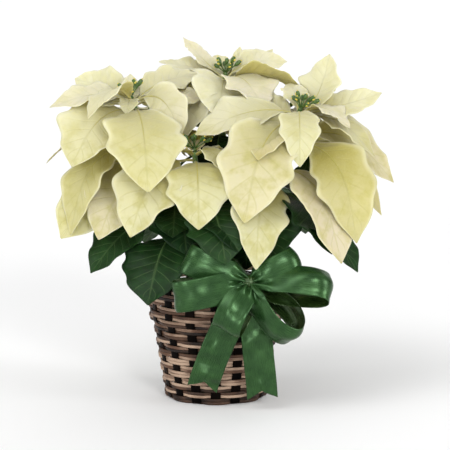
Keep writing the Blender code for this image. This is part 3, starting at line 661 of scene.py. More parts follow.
def cane_material(name, dark, middle, light, lightness, shine):
    """Reed with streaks along it; a tint for each strand makes it darker or lighter."""
    recipe = Recipe(
        name, Roughness=0.5, Specular_IOR_Level=shine, Coat_Weight=0.15 * shine, Coat_Roughness=0.35,
    )
    along, around = recipe.surface()
    tint = recipe.tint()
    flat = recipe.node("CombineXYZ", along * 18.0 + tint[1] * 90.0, around * 1400.0, tint[2])
    fibre = recipe.noise(1.0, 4.0, 0.7, flat)
    patch = recipe.noise(34.0, 3.0, 0.6)
    share = fibre * 0.55 + patch * 0.75 + (tint[0] - 0.5) * 0.9 + lightness
    recipe.colour(recipe.ramp(share, (0.30, dark), (0.62, middle), (0.92, light)))
    recipe.rough(fibre.ease(0.2, 0.8, 0.62, 0.38))
    recipe.bump(fibre, 0.0005)
    return recipe.material


def plastic_material(name):
    recipe = Recipe(name, Roughness=0.42)
    grain = recipe.noise(900.0, 2.0)
    patch = recipe.noise(30.0).ease(0.3, 0.7)
    recipe.colour(recipe.coats((0.018, 0.05, 0.028), (patch, (0.03, 0.075, 0.04))))
    recipe.rough(grain.ease(0.3, 0.7, 0.34, 0.52))
    recipe.bump(grain, 0.0001)
    return recipe.material


def soil_material(name, low, high):
    recipe = Recipe(name, Roughness=0.95)
    grain = recipe.noise(700.0, 5.0, 0.7)
    clumps = recipe.noise(160.0)
    recipe.colour(recipe.coats(low, ((grain + clumps * 0.5).ease(0.4, 1.0), high)))
    recipe.bump(grain, 0.0012)
    return recipe.material


def satin_material(name, under):
    """Ribbon with fine threads along and across it and a soft sheen."""
    recipe = Recipe(
        name, Roughness=0.3, Metallic=0.5, Specular_IOR_Level=0.4, Coat_Weight=0.0 if under else 0.5,
        Coat_Roughness=0.24, Sheen_Weight=0.05, Sheen_Roughness=0.3, Sheen_Tint=(0.70, 0.90, 0.62, 1),
    )
    along, around = recipe.surface()
    warp = (around * 9000.0).math("SINE")
    weft = (along * 7000.0).math("SINE")
    slub = recipe.noise(1.0, 3.0, 0.6, recipe.node("CombineXYZ", along * 60.0, around * 2600.0, 0.0))
    deep, bright = (0.015, 0.042, 0.006), (0.050, 0.105, 0.022)
    if under:
        deep, bright = (0.014, 0.050, 0.012), (0.035, 0.100, 0.026)
    share = recipe.noise(75.0) * 0.6 + slub * 0.5
    recipe.colour(recipe.coats(deep, (share.ease(0.35, 0.8), bright)))
    recipe.rough(slub.ease(0.25, 0.75, 0.23, 0.33))
    recipe.bump(warp * 0.25 + weft * 0.2 + slub * 0.6, 0.000015)
    return recipe.material


def wire_material(name):
    recipe = Recipe(name, Roughness=0.4, Metallic=0.5)
    recipe.colour(recipe.coats((0.02, 0.07, 0.03), (recipe.noise(800.0, 2.0), (0.05, 0.13, 0.06))))
    return recipe.material


BRACT = bract_material("bract_upper", False)
# The underside finish: painted shade, gold as if shaded and lit through the bract.
BRACT_UNDER_SHADED = bract_material("bract_lower_shaded", True)
LEAF = leaf_material("leaf_upper", False)
LEAF_UNDER = leaf_material("leaf_lower", True)
STEM = stem_material("stem")
CUP = cup_material("cup_green", (0.020, 0.060, 0.010), (0.10, 0.18, 0.03), 500.0)
GLAND = cup_material("gland_yellow", (0.62, 0.48, 0.05), (0.80, 0.66, 0.12), 700.0)
WEFT = cane_material(
    "cane_weft", (0.010, 0.005, 0.003), (0.110, 0.056, 0.033), (0.40, 0.28, 0.20), -0.06, 0.2)
# Stakes and floor spokes nearly black: partly a dark stain, partly painted shade of the slots where the weft
# passes behind them.
STAKE = cane_material(
    "cane_stake_stain_and_shade", (0.001, 0.0006, 0.0005), (0.005, 0.0025, 0.0015), (0.030, 0.017, 0.011), -0.12, 0.03)
BORDER = cane_material("cane_border", (0.10, 0.055, 0.03), (0.36, 0.23, 0.135), (0.66, 0.50, 0.33), 0.0, 0.2)
PLASTIC = plastic_material("pot_plastic")
SOIL = soil_material("soil_mix", (0.008, 0.005, 0.003), (0.060, 0.040, 0.024))
PERLITE = soil_material("perlite", (0.45, 0.43, 0.38), (0.75, 0.72, 0.66))
SATIN = satin_material("ribbon_face", False)
SATIN_UNDER = satin_material("ribbon_back", True)
WIRE = wire_material("wire_green")


# Basket


def wall_radius(height):
    """The basket's mean outer radius: a taper, then a band that stands proud."""
    if height < BAND_HEIGHT:
        return BASE_RADIUS + (BODY_TOP_RADIUS - BASE_RADIUS) * height / BAND_HEIGHT
    step = min(1.0, (height - BAND_HEIGHT) / BAND_STEP)
    smooth = step * step * (3 - 2 * step)
    lean = (BAND_TOP_RADIUS - BAND_RADIUS) * (height - BAND_HEIGHT) / (WALL_HEIGHT - BAND_HEIGHT)
    return BODY_TOP_RADIUS + (BAND_RADIUS - BODY_TOP_RADIUS) * smooth + lean


def add_weave(builder, chance):
    """Rows of two flat reeds, over and under the stakes."""
    pitch = WALL_HEIGHT / ROWS
    angles = full_turn(WEAVE_STEPS)
    section = round_section(1.0, 8)
    section = np.sign(section) * np.abs(section) ** 0.7 * (STRAND_THICKNESS / 2, STRAND_SHARE * pitch / 2)
    for row, strand in product(range(ROWS), range(2)):
        height = (row + FIRST_STRAND + NEXT_STRAND * strand) * pitch
        wave = np.cos(0.5 * STAKES * angles + math.pi * row)
        wave = np.sign(wave) * np.abs(wave) ** 0.55
        drift = [wavering((math.cos(a) * 2, math.sin(a) * 2, row * 0.7), strand + 3) for a in angles]
        shift = np.array(drift)
        radius = wall_radius(height) - REED_DEPTH + REED_SWING * wave + REED_DRIFT_OUT * shift
        centres = circle(angles, radius, height + REED_DRIFT_UP * shift)
        tint = (chance.uniform(0.15, 0.9), chance.random(), chance.random())
        sweep(builder, centres, section, across=circle(angles, 1.0, 0.0), closed=True, tint=tint)


def add_stakes(builder, chance):
    """Wide flat stakes that stand in the weave, from the floor to the rim."""
    heights = np.linspace(0.0015, WALL_HEIGHT + RIM_SECTION, STAKE_LEVELS)
    corners = [(1, 0.4), (0.6, 1), (-0.6, 1), (-1, 0.4), (-1, -0.4), (-0.6, -1), (0.6, -1), (1, -0.4)]
    section = np.array(corners) * (STAKE_WIDTH / 2, STAKE_HALF_THICKNESS)
    for stake in range(STAKES):
        angle = 2 * math.pi * stake / STAKES
        out = np.array((math.cos(angle), math.sin(angle), 0.0))
        side = np.tile((-math.sin(angle), math.cos(angle), 0.0), (STAKE_LEVELS, 1))
        inset = REED_DEPTH + 0.0001
        centres = [out * (wall_radius(min(h, WALL_HEIGHT)) - inset) + np.array((0, 0, h)) for h in heights]
        tint = (chance.uniform(0.3, 0.7), chance.random(), 0.5)
        sweep(builder, centres, section, across=side, slot=1, tint=tint)


def make_basket_wall():
    builder = Builder()
    chance = random.Random(4)
    add_weave(builder, chance)
    add_stakes(builder, chance)
    builder.piece("basket_weave", (WEFT, STAKE), "basket_cane", "basket_wall")


def make_basket_rim():
    """Thick canes laid round each other."""
    builder = Builder()
    middle = wall_radius(WALL_HEIGHT) - 0.5 * WALL_THICKNESS
    height = WALL_HEIGHT + GAP + RIM_SECTION
    angles = full_turn(RIM_STEPS)
    for strand in range(RIM_STRANDS):
        turn = RIM_TURNS * angles + 2 * math.pi * strand / RIM_STRANDS
        radius = middle + RIM_LAY_RADIUS * np.cos(turn)
        centres = circle(angles, radius, height + RIM_LAY_RADIUS * np.sin(turn))
        tint = (0.35 + 0.2 * strand, 0.3 * strand, 0.5)
        across = circle(angles, 1.0, 0.0)
        sweep(builder, centres, round_section(RIM_CANE_RADIUS), across=across, closed=True, tint=tint)
    builder.piece("basket_border", (BORDER,), "basket_cane", "basket_rim")


def make_basket_base():
    """Spokes with rounds of reed woven between them."""
    builder = Builder()
    chance = random.Random(8)
    radius = wall_radius(0.0) - WALL_THICKNESS - 2 * GAP
    middle = BASE_THICKNESS / 2
    for spoke in range(SPOKES):
        angle = math.pi * spoke / SPOKES
        out = np.array((math.cos(angle), math.sin(angle), 0))
        ends = [out * radius * s + np.array((0, 0, middle)) for s in np.linspace(-1, 1, SPOKE_POINTS)]
        side = np.tile((-math.sin(angle), math.cos(angle), 0.0), (SPOKE_POINTS, 1))
        section = round_section(SPOKE_RADIUS, 8) * (1.0, 0.32)
        sweep(builder, ends, section, across=side, slot=1, tint=(0.5, chance.random(), 0.5))
    angles = full_turn(FLOOR_STEPS)
    section = round_section(FLOOR_REED_RADIUS, 8) * (0.9, 1.0)
    up = np.tile((0.0, 0.0, 1.0), (FLOOR_STEPS, 1))
    for ring in range(FLOOR_ROUNDS):
        reach = FLOOR_FIRST + (radius - FLOOR_MARGIN) * ring / (FLOOR_ROUNDS - 1)
        centres = circle(angles, reach, middle + FLOOR_LIFT * np.cos(8 * angles + math.pi * ring))
        tint = (chance.uniform(0.3, 0.8), chance.random(), 0.5)
        sweep(builder, centres, section, across=up, closed=True, tint=tint)
    builder.piece("basket_floor", (WEFT, STAKE), "basket_cane", "basket_base")


# Pot and soil


def pot_profile():
    """The pot's outside from its lip down to its foot, then its inside back up."""
    foot = BASE_THICKNESS + GAP
    top = foot + POT_HEIGHT
    lip = top - POT_LIP_HEIGHT
    edge, widen = POT_LIP_RADIUS, POT_TOP_RADIUS - POT_FOOT_RADIUS
    shares = np.linspace(1, 0, POT_SIDE_POINTS)
    return [
        (edge - 0.0012, top), (edge - 0.0003, top - 0.0006), (edge, top - 0.0016),
        (edge, lip + 0.0008), (edge - 0.0006, lip), (POT_TOP_RADIUS + 0.0004, lip),
        *((POT_FOOT_RADIUS + widen * s, foot + 0.002 + (lip - foot - 0.003) * s) for s in shares),
        (POT_FOOT_RADIUS - 0.0012, foot), (0.0005, foot),
        (0.0005, foot + POT_WALL), (POT_FOOT_RADIUS - POT_WALL, foot + POT_WALL),
        (POT_TOP_RADIUS - POT_WALL, lip),
        (edge - POT_WALL, lip + POT_WALL), (edge - POT_WALL, top - 0.0005), (edge - 0.0012, top),
    ]


def make_pot():
    """The thin grower's pot, with a rolled lip and ribs down its side."""
    profile = pot_profile()
    angles = full_turn(POT_STEPS)
    ribs = POT_RIB_DEPTH * (np.cos(POT_RIBS * angles) > 0.6)
    rings = []
    for index, (radius, height) in enumerate(profile):
        rings.append(circle(angles, radius + (ribs if 6 < index < 17 else 0.0), height))
    around, along = np.abs(angles - math.pi) * 0.08, np.arange(len(profile)) * 0.004
    uvs = np.stack(np.broadcast_arrays(around[None, :], along[:, None]), axis=-1)
    builder = Builder()
    builder.add(rings, uvs, tube_faces(len(profile), POT_STEPS, flipped=True), 0)
    builder.piece("grower_pot", (PLASTIC,), "pot_plastic", "nursery_pot")


def soil_height(radius):
    share = radius / POT_TOP_RADIUS
    return SOIL_EDGE + SOIL_DOME * (1 - share * share)


def add_soil_body(builder, edge, foot_radius, foot):
    """A rough top, the sloping side and the flat foot."""
    angles = full_turn(SOIL_STEPS)
    points, uvs = [], []
    for ring in range(SOIL_RINGS):
        radius = max(0.0004, edge * ring / (SOIL_RINGS - 1))
        fade = min(1.0, (edge - radius) / 0.006)
        for a in angles:
            x, y = radius * math.cos(a), radius * math.sin(a)
            rough = wavering((x, y, 0.0), 2, 95.0) + 0.6 * wavering((x, y, 0.0), 3, 260.0)
            points.append((x, y, soil_height(radius) - 0.0004 + SOIL_ROUGHNESS * rough * fade))
            uvs.append((x, y))
    for radius, height in ((foot_radius, foot), (0.0004, foot)):
        points += [(radius * math.cos(a), radius * math.sin(a), height) for a in angles]
        uvs += [(a, height) for a in angles]
    faces = tube_faces(SOIL_RINGS + 2, SOIL_STEPS, flipped=True)
    faces.append(tuple(range(SOIL_STEPS)))
    faces.append(tuple((SOIL_RINGS + 1) * SOIL_STEPS + k for k in reversed(range(SOIL_STEPS))))
    builder.add(points, uvs, faces, 0)


def make_soil():
    """Potting mix: a rough top with crumbs and grains of perlite lying on it."""
    foot = BASE_THICKNESS + POT_WALL + 2 * GAP
    lip = BASE_THICKNESS + GAP + POT_HEIGHT - POT_LIP_HEIGHT
    foot_radius = POT_FOOT_RADIUS - POT_WALL - GAP
    slope = (POT_TOP_RADIUS - POT_FOOT_RADIUS) / (lip - BASE_THICKNESS - GAP)
    edge = foot_radius + slope * (SOIL_EDGE - foot)
    builder = Builder()
    add_soil_body(builder, edge, foot_radius, foot)
    chance = random.Random(12)
    for grain in range(CRUMBS):
        reach, turn = (edge - 0.004) * math.sqrt(chance.random()), chance.uniform(0, 2 * math.pi)
        white = grain % PERLITE_EVERY == 0
        size = chance.uniform(0.0009, 0.0021) if white else chance.uniform(0.0008, 0.0026)
        middle = Vector((reach * math.cos(turn), reach * math.sin(turn), soil_height(reach) - 0.0003))
        add_crumb(builder, middle, size, chance, 1 if white else 0)
    builder.piece("potting_mix", (SOIL, PERLITE), "soil_mix", "soil")


def add_crumb(builder, middle, size, chance, slot):
    """A small lump with uneven corners."""
    corners = []
    for level, count in ((1.0, 1), (0.45, 5), (-0.45, 5), (-1.0, 1)):
        for k in range(count):
            turn = 2 * math.pi * (k + (0.5 if level < 0 else 0)) / count
            wide = math.sqrt(1 - level * level) * chance.uniform(0.75, 1.2)
            high = level * chance.uniform(0.6, 1.0)
            corners.append(middle + Vector((wide * math.cos(turn), wide * math.sin(turn), high)) * size)
    faces = []
    for k in range(5):
        m = (k + 1) % 5
        faces += [(0, 1 + k, 1 + m), (1 + k, 6 + k, 1 + m), (1 + m, 6 + k, 6 + m), (11, 6 + m, 6 + k)]
    builder.add(corners, [(0.0, 0.0)] * len(corners), faces, slot)


# Stems


def stem_foot(bloom):
    """The lowest point of a stem, on the floor of its hole in the soil."""
    place = mm(*bloom.foot, 0)
    height = soil_height(place.length) - HOLE_DEPTH
    return Vector((place.x, place.y, height))


def stem_line(bloom, count=60):
    """Points from the soil's hole to the bloom's top: upright in the hole, then a smooth sweep."""
    foot = stem_foot(bloom)
    start = foot + Vector((0, 0, HOLE_DEPTH + 0.004))
    top = mm(*bloom.middle) - Vector((0, 0, CLUSTER_MIDDLE))
    lean = Vector((*bloom.lean, 1.0)).normalized()
    first = start + Vector((0, 0, STEM_RISE))
    second = top - lean * STEM_RISE * 0.8
    points = [foot]
    for i in range(count):
        t = i / (count - 1)
        a, b = (1 - t) ** 3, 3 * t * (1 - t) ** 2
        c, d = 3 * t * t * (1 - t), t**3
        points.append(start * a + first * b + second * c + top * d)
    return points


def stem_length(line):
    return sum((b - a).length for a, b in zip(line, line[1:]))


def down_the_stem(line, drop):
    """The point at a distance of drop below the stem's top, measured along it."""
    left = drop
    for upper, lower in zip(reversed(line), reversed(line[:-1])):
        step = (upper - lower).length
        if step >= left:
            return upper.lerp(lower, left / step)
        left -= step
    return line[0]


def add_stem(builder, line, low, high, slot):
    """The stretch of a stem between two drops below its top, with a swelling at each joint."""
    length = stem_length(line)
    count = max(8, int((low - high) / STEM_STEP))
    drops = np.linspace(low, high, count)
    centres = [down_the_stem(line, drop) for drop in drops]
    taper = STEM_TOP_RADIUS + (STEM_FOOT_RADIUS - STEM_TOP_RADIUS) * np.minimum(1.0, drops / length)
    joints = 1 + JOINT_SWELL * np.exp(-(((drops % JOINT_SPACING) - 0.5 * JOINT_SPACING) / JOINT_LENGTH) ** 2)
    sweep(builder, centres, round_section(1.0, 12), scale=taper * joints * STEM_INSET, slot=slot)


# Blades


def half_width(share):
    """An ovate, pointed outline: 0 at the base and the tip, 1 at its widest."""
    ovate = share**0.9 * (1 - share) ** 1.02 / 0.2662
    lobes = math.cos(2 * math.pi * (share - 0.31) / LOBE_PITCH) * math.sin(math.pi * share)
    return ovate * (1 + 0.09 * lobes)


# A blade at its real size: root and tip in metres, petiole as a share of its length
Blade = namedtuple("Blade", "root tip width lift roll cup petiole wave")


def blade_sides(blade):
    """From root to tip, and the level direction across that."""
    chord = blade.tip - blade.root
    out = Vector((chord.x, chord.y, 0)).normalized()
    return chord, Vector((-out.y, out.x, 0))


def spine_point(blade, t):
    chord, side = blade_sides(blade)
    normal = chord.normalized().cross(side)
    return blade.root + chord * t + normal * (blade.lift * chord.length * math.sin(math.pi * t**0.8))


def blade_station(blade, t):
    """At t along a blade: its middle, across, up, share beyond the petiole, half width and ripple."""
    side = blade_sides(blade)[1]
    tangent = (spine_point(blade, min(1.0, t + 0.01)) - spine_point(blade, max(0.0, t - 0.01))).normalized()
    flat = (side - tangent * side.dot(tangent)).normalized()
    face = tangent.cross(flat)
    turn = math.radians(blade.roll) * min(1.0, t / 0.3)
    wide = flat * math.cos(turn) + face * math.sin(turn)
    share = max(0.0, (t - blade.petiole) / (1 - blade.petiole))
    half = 0.0
    if t < 1.0:
        half = max(PETIOLE_HALF_WIDTH * (1 - share), 0.5 * blade.width * half_width(share))
    ripple = blade.wave * math.sin(2 * math.pi * 2.3 * share + blade.roll)
    return spine_point(blade, t), wide, tangent.cross(wide), share, half, ripple


def blade_margins(blade, stations):
    """The points of the solid blade's two margins and its middle, at its stations."""
    points = []
    for t in [blade.petiole + (1 - blade.petiole) * s for s in stations]:
        middle, wide, face, share, half, ripple = blade_station(blade, t)
        for s in (-1, 0, 1):
            rise = blade.cup * abs(s) ** 1.5 + ripple * s * abs(s)
            points.append(middle + wide * (half * s) + face * (half * rise))
    return points


def packed_surface(node):
    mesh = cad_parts[node].data
    return BVHTree.FromPolygons([v.co for v in mesh.vertices], [tuple(p.vertices) for p in mesh.polygons])


def packed_blade(spec, line, petiole, stations, surface):
    """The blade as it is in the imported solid, a little bent from its spec, or None if it isn't there."""
    middle = line[-1] + Vector((0, 0, CLUSTER_MIDDLE))
    root = down_the_stem(line, spec.drop * 0.001)
    best = (FIT, None)
    for shorter, swing, rise in product(SHRINKS, SWINGS, RISES):
        bearing = math.radians(spec.bearing + swing)
        reach = spec.reach * shorter
        tip = middle + mm(reach * math.cos(bearing), reach * math.sin(bearing), spec.rise + rise)
        if surface.find_nearest(tip, FIT)[0] is None:
            continue
        width = spec.width * 0.001 * shorter
        for lift, roll in product(LIFTS, ROLLS):
            blade = Blade(root, tip, width, spec.lift + lift, spec.roll + roll, spec.cup, petiole, BLADE_WAVE)
            away = [surface.find_nearest(p)[3] for p in blade_margins(blade, stations[1:])]
            miss = sum(away) / len(away)
            if miss < best[0]:
                best = (miss, blade)
    return best[1]


def relief_at(across, share, half, veins, seed):
    """How far a blade stands off: quilted between its veins, puckered, and uneven at its edge."""
    out = np.abs(across)
    phase = veins * (share - VEIN_SWEEP * out**0.85)
    quilt = QUILT * (np.abs(np.sin(math.pi * phase)) - 0.6)
    quilt = quilt * np.clip(out / 0.25, 0, 1) * np.clip((1 - out) / 0.35, 0, 1)
    quilt *= min(1.0, share / 0.15) * min(1.0, (1 - share) / 0.2)
    pucker = np.array([wavering((share * 7, s * 2.6, 0.3), seed + 5) for s in across]) * PUCKER * out
    edge = np.array([wavering((share * 15, s, 2.0), seed + 9) for s in np.sign(across)]) * EDGE_WAVE * out**3
    return quilt + (pucker + edge) * min(1.0, half / 0.012)


def add_blade(builder, blade, veins, thickness, slots, seed, tint):
    """A fine blade on the solid's form, with a keel under its midrib."""
    stalk = np.linspace(0.0, blade.petiole, PETIOLE_ROWS, endpoint=False)
    ts = np.concatenate([stalk, np.linspace(blade.petiole, LAST_ROW, BLADE_ROWS)])
    across = np.linspace(-1, 1, BLADE_COLUMNS + 1)
    out = np.abs(across)
    grid, shares, spine, sides, keel = [], [], [], [], []
    for t in ts:
        middle, wide, face, share, half, ripple = blade_station(blade, float(t))
        half = max(half, LEAST_HALF_WIDTH)
        uneven = [wavering((share * 5.0, s, 0.0), seed, 1.0) for s in (-1.0, 1.0)]
        margin = 1 + MARGIN_WAVE * np.where(across < 0, uneven[0], uneven[1]) * out**2
        rise = blade.cup * out**1.5 + ripple * across * out
        height = half * rise + relief_at(across, share, half, veins, seed)
        grid.append(np.array(middle) + np.outer(across * half * margin, wide) + np.outer(height, face))
        shares.append(share)
        spine.append(np.array(middle - face * KEEL_DROP))
        sides.append(np.array(wide))
        keel.append(max(KEEL_LEAST, KEEL_RADIUS * (1 - share) ** 1.1 if share > 0 else KEEL_RADIUS))
    uvs = np.stack(np.broadcast_arrays(0.5 + 0.5 * across[None, :], np.array(shares)[:, None]), axis=-1)
    thick_sheet(builder, np.array(grid), uvs, thickness, slots, tint)
    last = int(KEEL_END * len(ts))
    ring = Builder()
    sweep(ring, spine[:last], round_section(1.0, KEEL_SIDES), across=sides[:last], scale=keel[:last])
    along = np.repeat(shares[:last], KEEL_SIDES)
    uvs = np.stack([np.full(len(along), 0.5), along], axis=1)
    builder.add(ring.points[0], uvs, ring.faces, slots[1], tint)


def spare_bracts(bloom):
    """Bracts by rule on the sides that the listed ones leave open, turning by the golden angle."""
    bracts = []
    for i in range(bloom.extra):
        ring = i / max(1, bloom.extra - 1)
        bearing = FIRST_BRACT + math.degrees(GOLDEN_ANGLE) * i
        reach = 58 + 42 * min(1.0, 1.6 * ring)
        rise = 22 - 84 * ring
        drop = 5 + 46 * ring * ring
        bracts.append(Bract(bearing, reach, rise, 0.52 * reach + 4, drop, 0.16 + 0.10 * ring))
    return bracts


def spare_leaves(bloom):
    """Leaves by rule down the stem below the bracts, turning by the golden angle."""
    leaves = []
    for i in range(bloom.leaf_extra):
        ring = i / max(1, bloom.leaf_extra - 1)
        bearing = FIRST_LEAF + math.degrees(GOLDEN_ANGLE) * i
        drop = bloom.hub + 8 + ring * 62
        leaves.append(Leaf(bearing, 100 - 12 * ring, -drop + 4 - 30 * ring, 66, drop, 0.20))
    return leaves


def make_bloom(name, bloom, seed):
    """The stem's green top with its bracts: a gold-green flush at their feet, partly their own colour and
    partly painted shade, cream or faintly pink beyond.
    """
    chance = random.Random(seed)
    builder = Builder()
    line = stem_line(bloom)
    surface = packed_surface(f"bloom_{name}")
    add_stem(builder, line, bloom.hub * 0.001, 0.0, 2)
    for i, spec in enumerate([*bloom.bracts, *spare_bracts(bloom)]):
        blade = packed_blade(spec, line, BRACT_PETIOLE, BRACT_STATIONS, surface)
        # The tint holds a faint pink, the strength of the gold at the foot (partly painted shade) and, for
        # some bracts, an all-over gold of painted shade.
        tint = (chance.random() ** 2, min(1.0, 0.25 + 0.75 * chance.random()), chance.random())
        if blade is not None:
            add_blade(builder, blade, BRACT_VEINS, BRACT_THICKNESS, (0, 1), seed * 31 + i, tint)
    builder.piece(f"bracts_{name}", (BRACT, BRACT_UNDER_SHADED, STEM), "bract_cream", f"bloom_{name}")


def make_foliage(name, bloom, seed):
    """The stem down to the soil with its dark leaves."""
    chance = random.Random(seed + 100)
    builder = Builder()
    line = stem_line(bloom)
    surface = packed_surface(f"leafy_stem_{name}")
    add_stem(builder, line, stem_length(line), bloom.hub * 0.001 + GAP, 2)
    for i, spec in enumerate([*bloom.leaves, *spare_leaves(bloom)]):
        blade = packed_blade(spec, line, LEAF_PETIOLE, LEAF_STATIONS, surface)
        tint = (chance.random(), chance.random(), chance.random())
        if blade is not None:
            add_blade(builder, blade, LEAF_VEINS, LEAF_THICKNESS, (0, 1), seed * 53 + i, tint)
    builder.piece(f"foliage_{name}", (LEAF, LEAF_UNDER, STEM), "leaf_green", f"leafy_stem_{name}")


def make_cups(name, bloom, seed):
    """Green cups on short stalks, each with a yellow gland on its shoulder and a tuft of stamens."""
    chance = random.Random(seed + 200)
    line = stem_line(bloom)
    axis = (line[-1] - line[-2]).normalized()
    seat = line[-1] + axis * GAP
    across = axis.orthogonal().normalized()
    over = axis.cross(across)
    builder = Builder()
    button = [seat + axis * BUTTON_HEIGHT * s for s in (0, 0.5, 1)]
    sweep(builder, button, round_section(BUTTON_RADIUS, 12), scale=(1, 0.95, 0.7))
    for i in range(bloom.cups):
        turn = i * GOLDEN_ANGLE
        tilt = math.radians(FIRST_CUP_TILT + CUP_TILTS * math.sqrt(i / (bloom.cups - 1)))
        aside = across * math.cos(turn) + over * math.sin(turn)
        along = axis * math.cos(tilt) + aside * math.sin(tilt)
        add_cup(builder, seat + axis * 0.003, along, aside, CUP_LENGTH * (0.86 + 0.14 * (i % 3)), chance)
    builder.piece(f"cyathia_{name}", (CUP, GLAND), "cup_green", f"cups_{name}")


def add_cup(builder, start, along, aside, reach, chance):
    """A stalk, an urn with a frilled mouth, a two-lipped gland and a few stamens."""
    shares = (0.0, 0.30, 0.52, 0.58, 0.66, 0.76, 0.86, 0.93, 0.96)
    radii = (0.9, 0.75, 0.8, 1.2, 2.3, 2.85, 2.7, 2.1, 1.5)
    sweep(builder, [start + along * reach * s for s in shares], round_section(0.001, 12), scale=radii)
    side = (aside - along * aside.dot(along)).normalized()
    gland = start + along * reach * 0.84 + side * 0.0028
    lip = along.cross(side)
    turns = full_turn(GLAND_POINTS)
    ring = [gland + (lip * math.cos(a) * 0.0013 + along * math.sin(a) * 0.0009) for a in turns]
    sweep(builder, ring, round_section(GLAND_RADIUS, 6), closed=True, slot=1)
    foot = start + along * reach * 0.93
    for k in range(STAMENS):
        a = 2 * math.pi * k / STAMENS + chance.random()
        lean = along + (side * math.cos(a) + lip * math.sin(a)) * 0.35
        tip = foot + lean.normalized() * reach * 0.085
        stamen = [foot, foot.lerp(tip, 0.6), tip]
        sweep(builder, stamen, round_section(STAMEN_RADIUS, 6), scale=(0.7, 0.8, 1.7), slot=1)


# Ribbon bow


def loop_frame(loop):
    """The directions of a loop: out from the waist, across the ribbon and out of its face."""
    angle = math.radians(loop.angle)
    out = Vector((math.cos(angle), 0, math.sin(angle)))
    tilt = math.radians(loop.forward)
    out = out * math.cos(tilt) + Vector((0, -1, 0)) * math.sin(tilt)
    depth = (Vector((0, -1, 0)) - out * Vector((0, -1, 0)).dot(out)).normalized()
    wide = out.cross(depth).normalized()
    turn = math.radians(loop.roll)
    return out, wide * math.cos(turn) + depth * math.sin(turn), depth * math.cos(turn) - wide * math.sin(turn)


def pleats(width, half, across):
    """How far a ribbon of a width stands off its middle line where it is gathered to less than that."""
    fold = width / 6
    squeezed = 2 * half / 6
    deep = 0.5 * math.sqrt(max(0.0, fold * fold - squeezed * squeezed))
    return deep * np.cos(3 * math.pi * across)


def ribbon_piece(name, centres, wides, faces, halves, seed, held, notch=0.0):
    """A ribbon along a path, gathered where it is narrow, with its back in its own finish."""
    gathered = held == "gathered"
    waves, crumple = GATHERED_CRUMPLE if gathered else HUNG_CRUMPLE
    across = np.linspace(-1, 1, RIBBON_COLUMNS)
    centres = np.array([tuple(c) for c in centres])
    along = lengths_along(centres)
    grid, uvs = [], []
    for i, (wide, face, half) in enumerate(zip(wides, faces, halves)):
        back = notch * (1 - np.abs(across)) * (i / (len(centres) - 1)) ** 6
        place = np.interp(along[i] - back, along, np.arange(len(along)))
        low = np.floor(place).astype(int)
        high = np.minimum(low + 1, len(centres) - 1)
        middle = centres[low] + (centres[high] - centres[low]) * (place - low)[:, None]
        width = RIBBON_WIDTH if gathered else 2 * half
        stand = pleats(width, min(half * 1.04, width / 2), across)
        curl = RIBBON_CURL * (1 - across**2) * min(1.0, half / 0.015)
        crease = np.array([wavering((along[i] * waves, s * 0.9, 0.4), seed) for s in across])
        crease *= crumple * min(1.0, half / 0.015)
        grid.append(middle + np.outer(across * half, wide) + np.outer(stand + curl + crease, face))
        uvs.append(np.stack([along[i] - back, across * RIBBON_WIDTH / 2], axis=1))
    builder = Builder()
    thick_sheet(builder, np.array(grid), np.array(uvs), RIBBON_SHEET, (0, 1))
    piece = builder.piece(name, (SATIN, SATIN_UNDER), "ribbon_satin", "ribbon_bow")


def make_loop(index, loop):
    out, wide, depth = loop_frame(loop)
    centres, halves = [], []
    for u in np.linspace(LOOP_START, 1 - LOOP_START, LOOP_POINTS):
        reach = 0.001 * loop.length * 0.5 * (1 - math.cos(2 * math.pi * u))
        swell = 0.001 * loop.opening * 1.3 * math.sin(2 * math.pi * u) * math.sin(math.pi * u)
        pinch = min(1.0, LOOP_PINCH + LOOP_SPREAD * reach / (0.001 * loop.length))
        halves.append(0.0005 * loop.width * pinch)
        centres.append(BOW_WAIST + out * reach + depth * swell)
    ahead = headings(np.array([tuple(c) for c in centres]), False)
    sides = np.tile(tuple(wide), (len(centres), 1))
    faces = np.cross(ahead, sides) * -1
    ribbon_piece(f"ribbon_loop_{index + 1}", centres, sides, faces, halves, 40 + index, "gathered")


def make_tail(name, route, seed):
    centres = smooth_path([mm(*p) for p in route], TAIL_STEPS)
    ahead = headings(centres, False)
    sides = unit(np.cross(ahead, np.tile((0.0, -1.0, 0.0), (len(centres), 1))))
    faces = unit(np.cross(sides, ahead))
    halves = RIBBON_WIDTH / 2 * np.minimum(1.0, 0.40 + 2.4 * np.linspace(0, 1, len(centres)))
    ribbon_piece(name, centres, sides, faces, halves, seed, "hung", notch=TAIL_NOTCH)


def make_knot():
    """The short band that gathers the bow's waist."""
    builder = Builder()
    across = np.linspace(-1, 1, KNOT_COLUMNS)
    half = WAIST_RADIUS * KNOT_SHARE
    grid, uvs = [], []
    for a in np.linspace(0, 2 * math.pi, KNOT_ROWS):
        out = np.array((0.0, -math.cos(a), math.sin(a)))
        pleat = 0.0006 * np.cos(5 * math.pi * across + 0.7 * math.sin(2 * a))
        radius = WAIST_RADIUS * 0.98 - 0.0022 * across**2 + pleat
        grid.append(np.array(BOW_WAIST) + np.outer(across * half, (1, 0, 0)) + np.outer(radius, out))
        uvs.append(np.stack([np.full(KNOT_COLUMNS, a * WAIST_RADIUS), across * WAIST_RADIUS], axis=1))
    thick_sheet(builder, np.array(grid)[::-1], np.array(uvs), RIBBON_SHEET, (0, 1))
    knot = builder.piece("bow_knot", (SATIN, SATIN_UNDER), "ribbon_satin", "ribbon_bow")


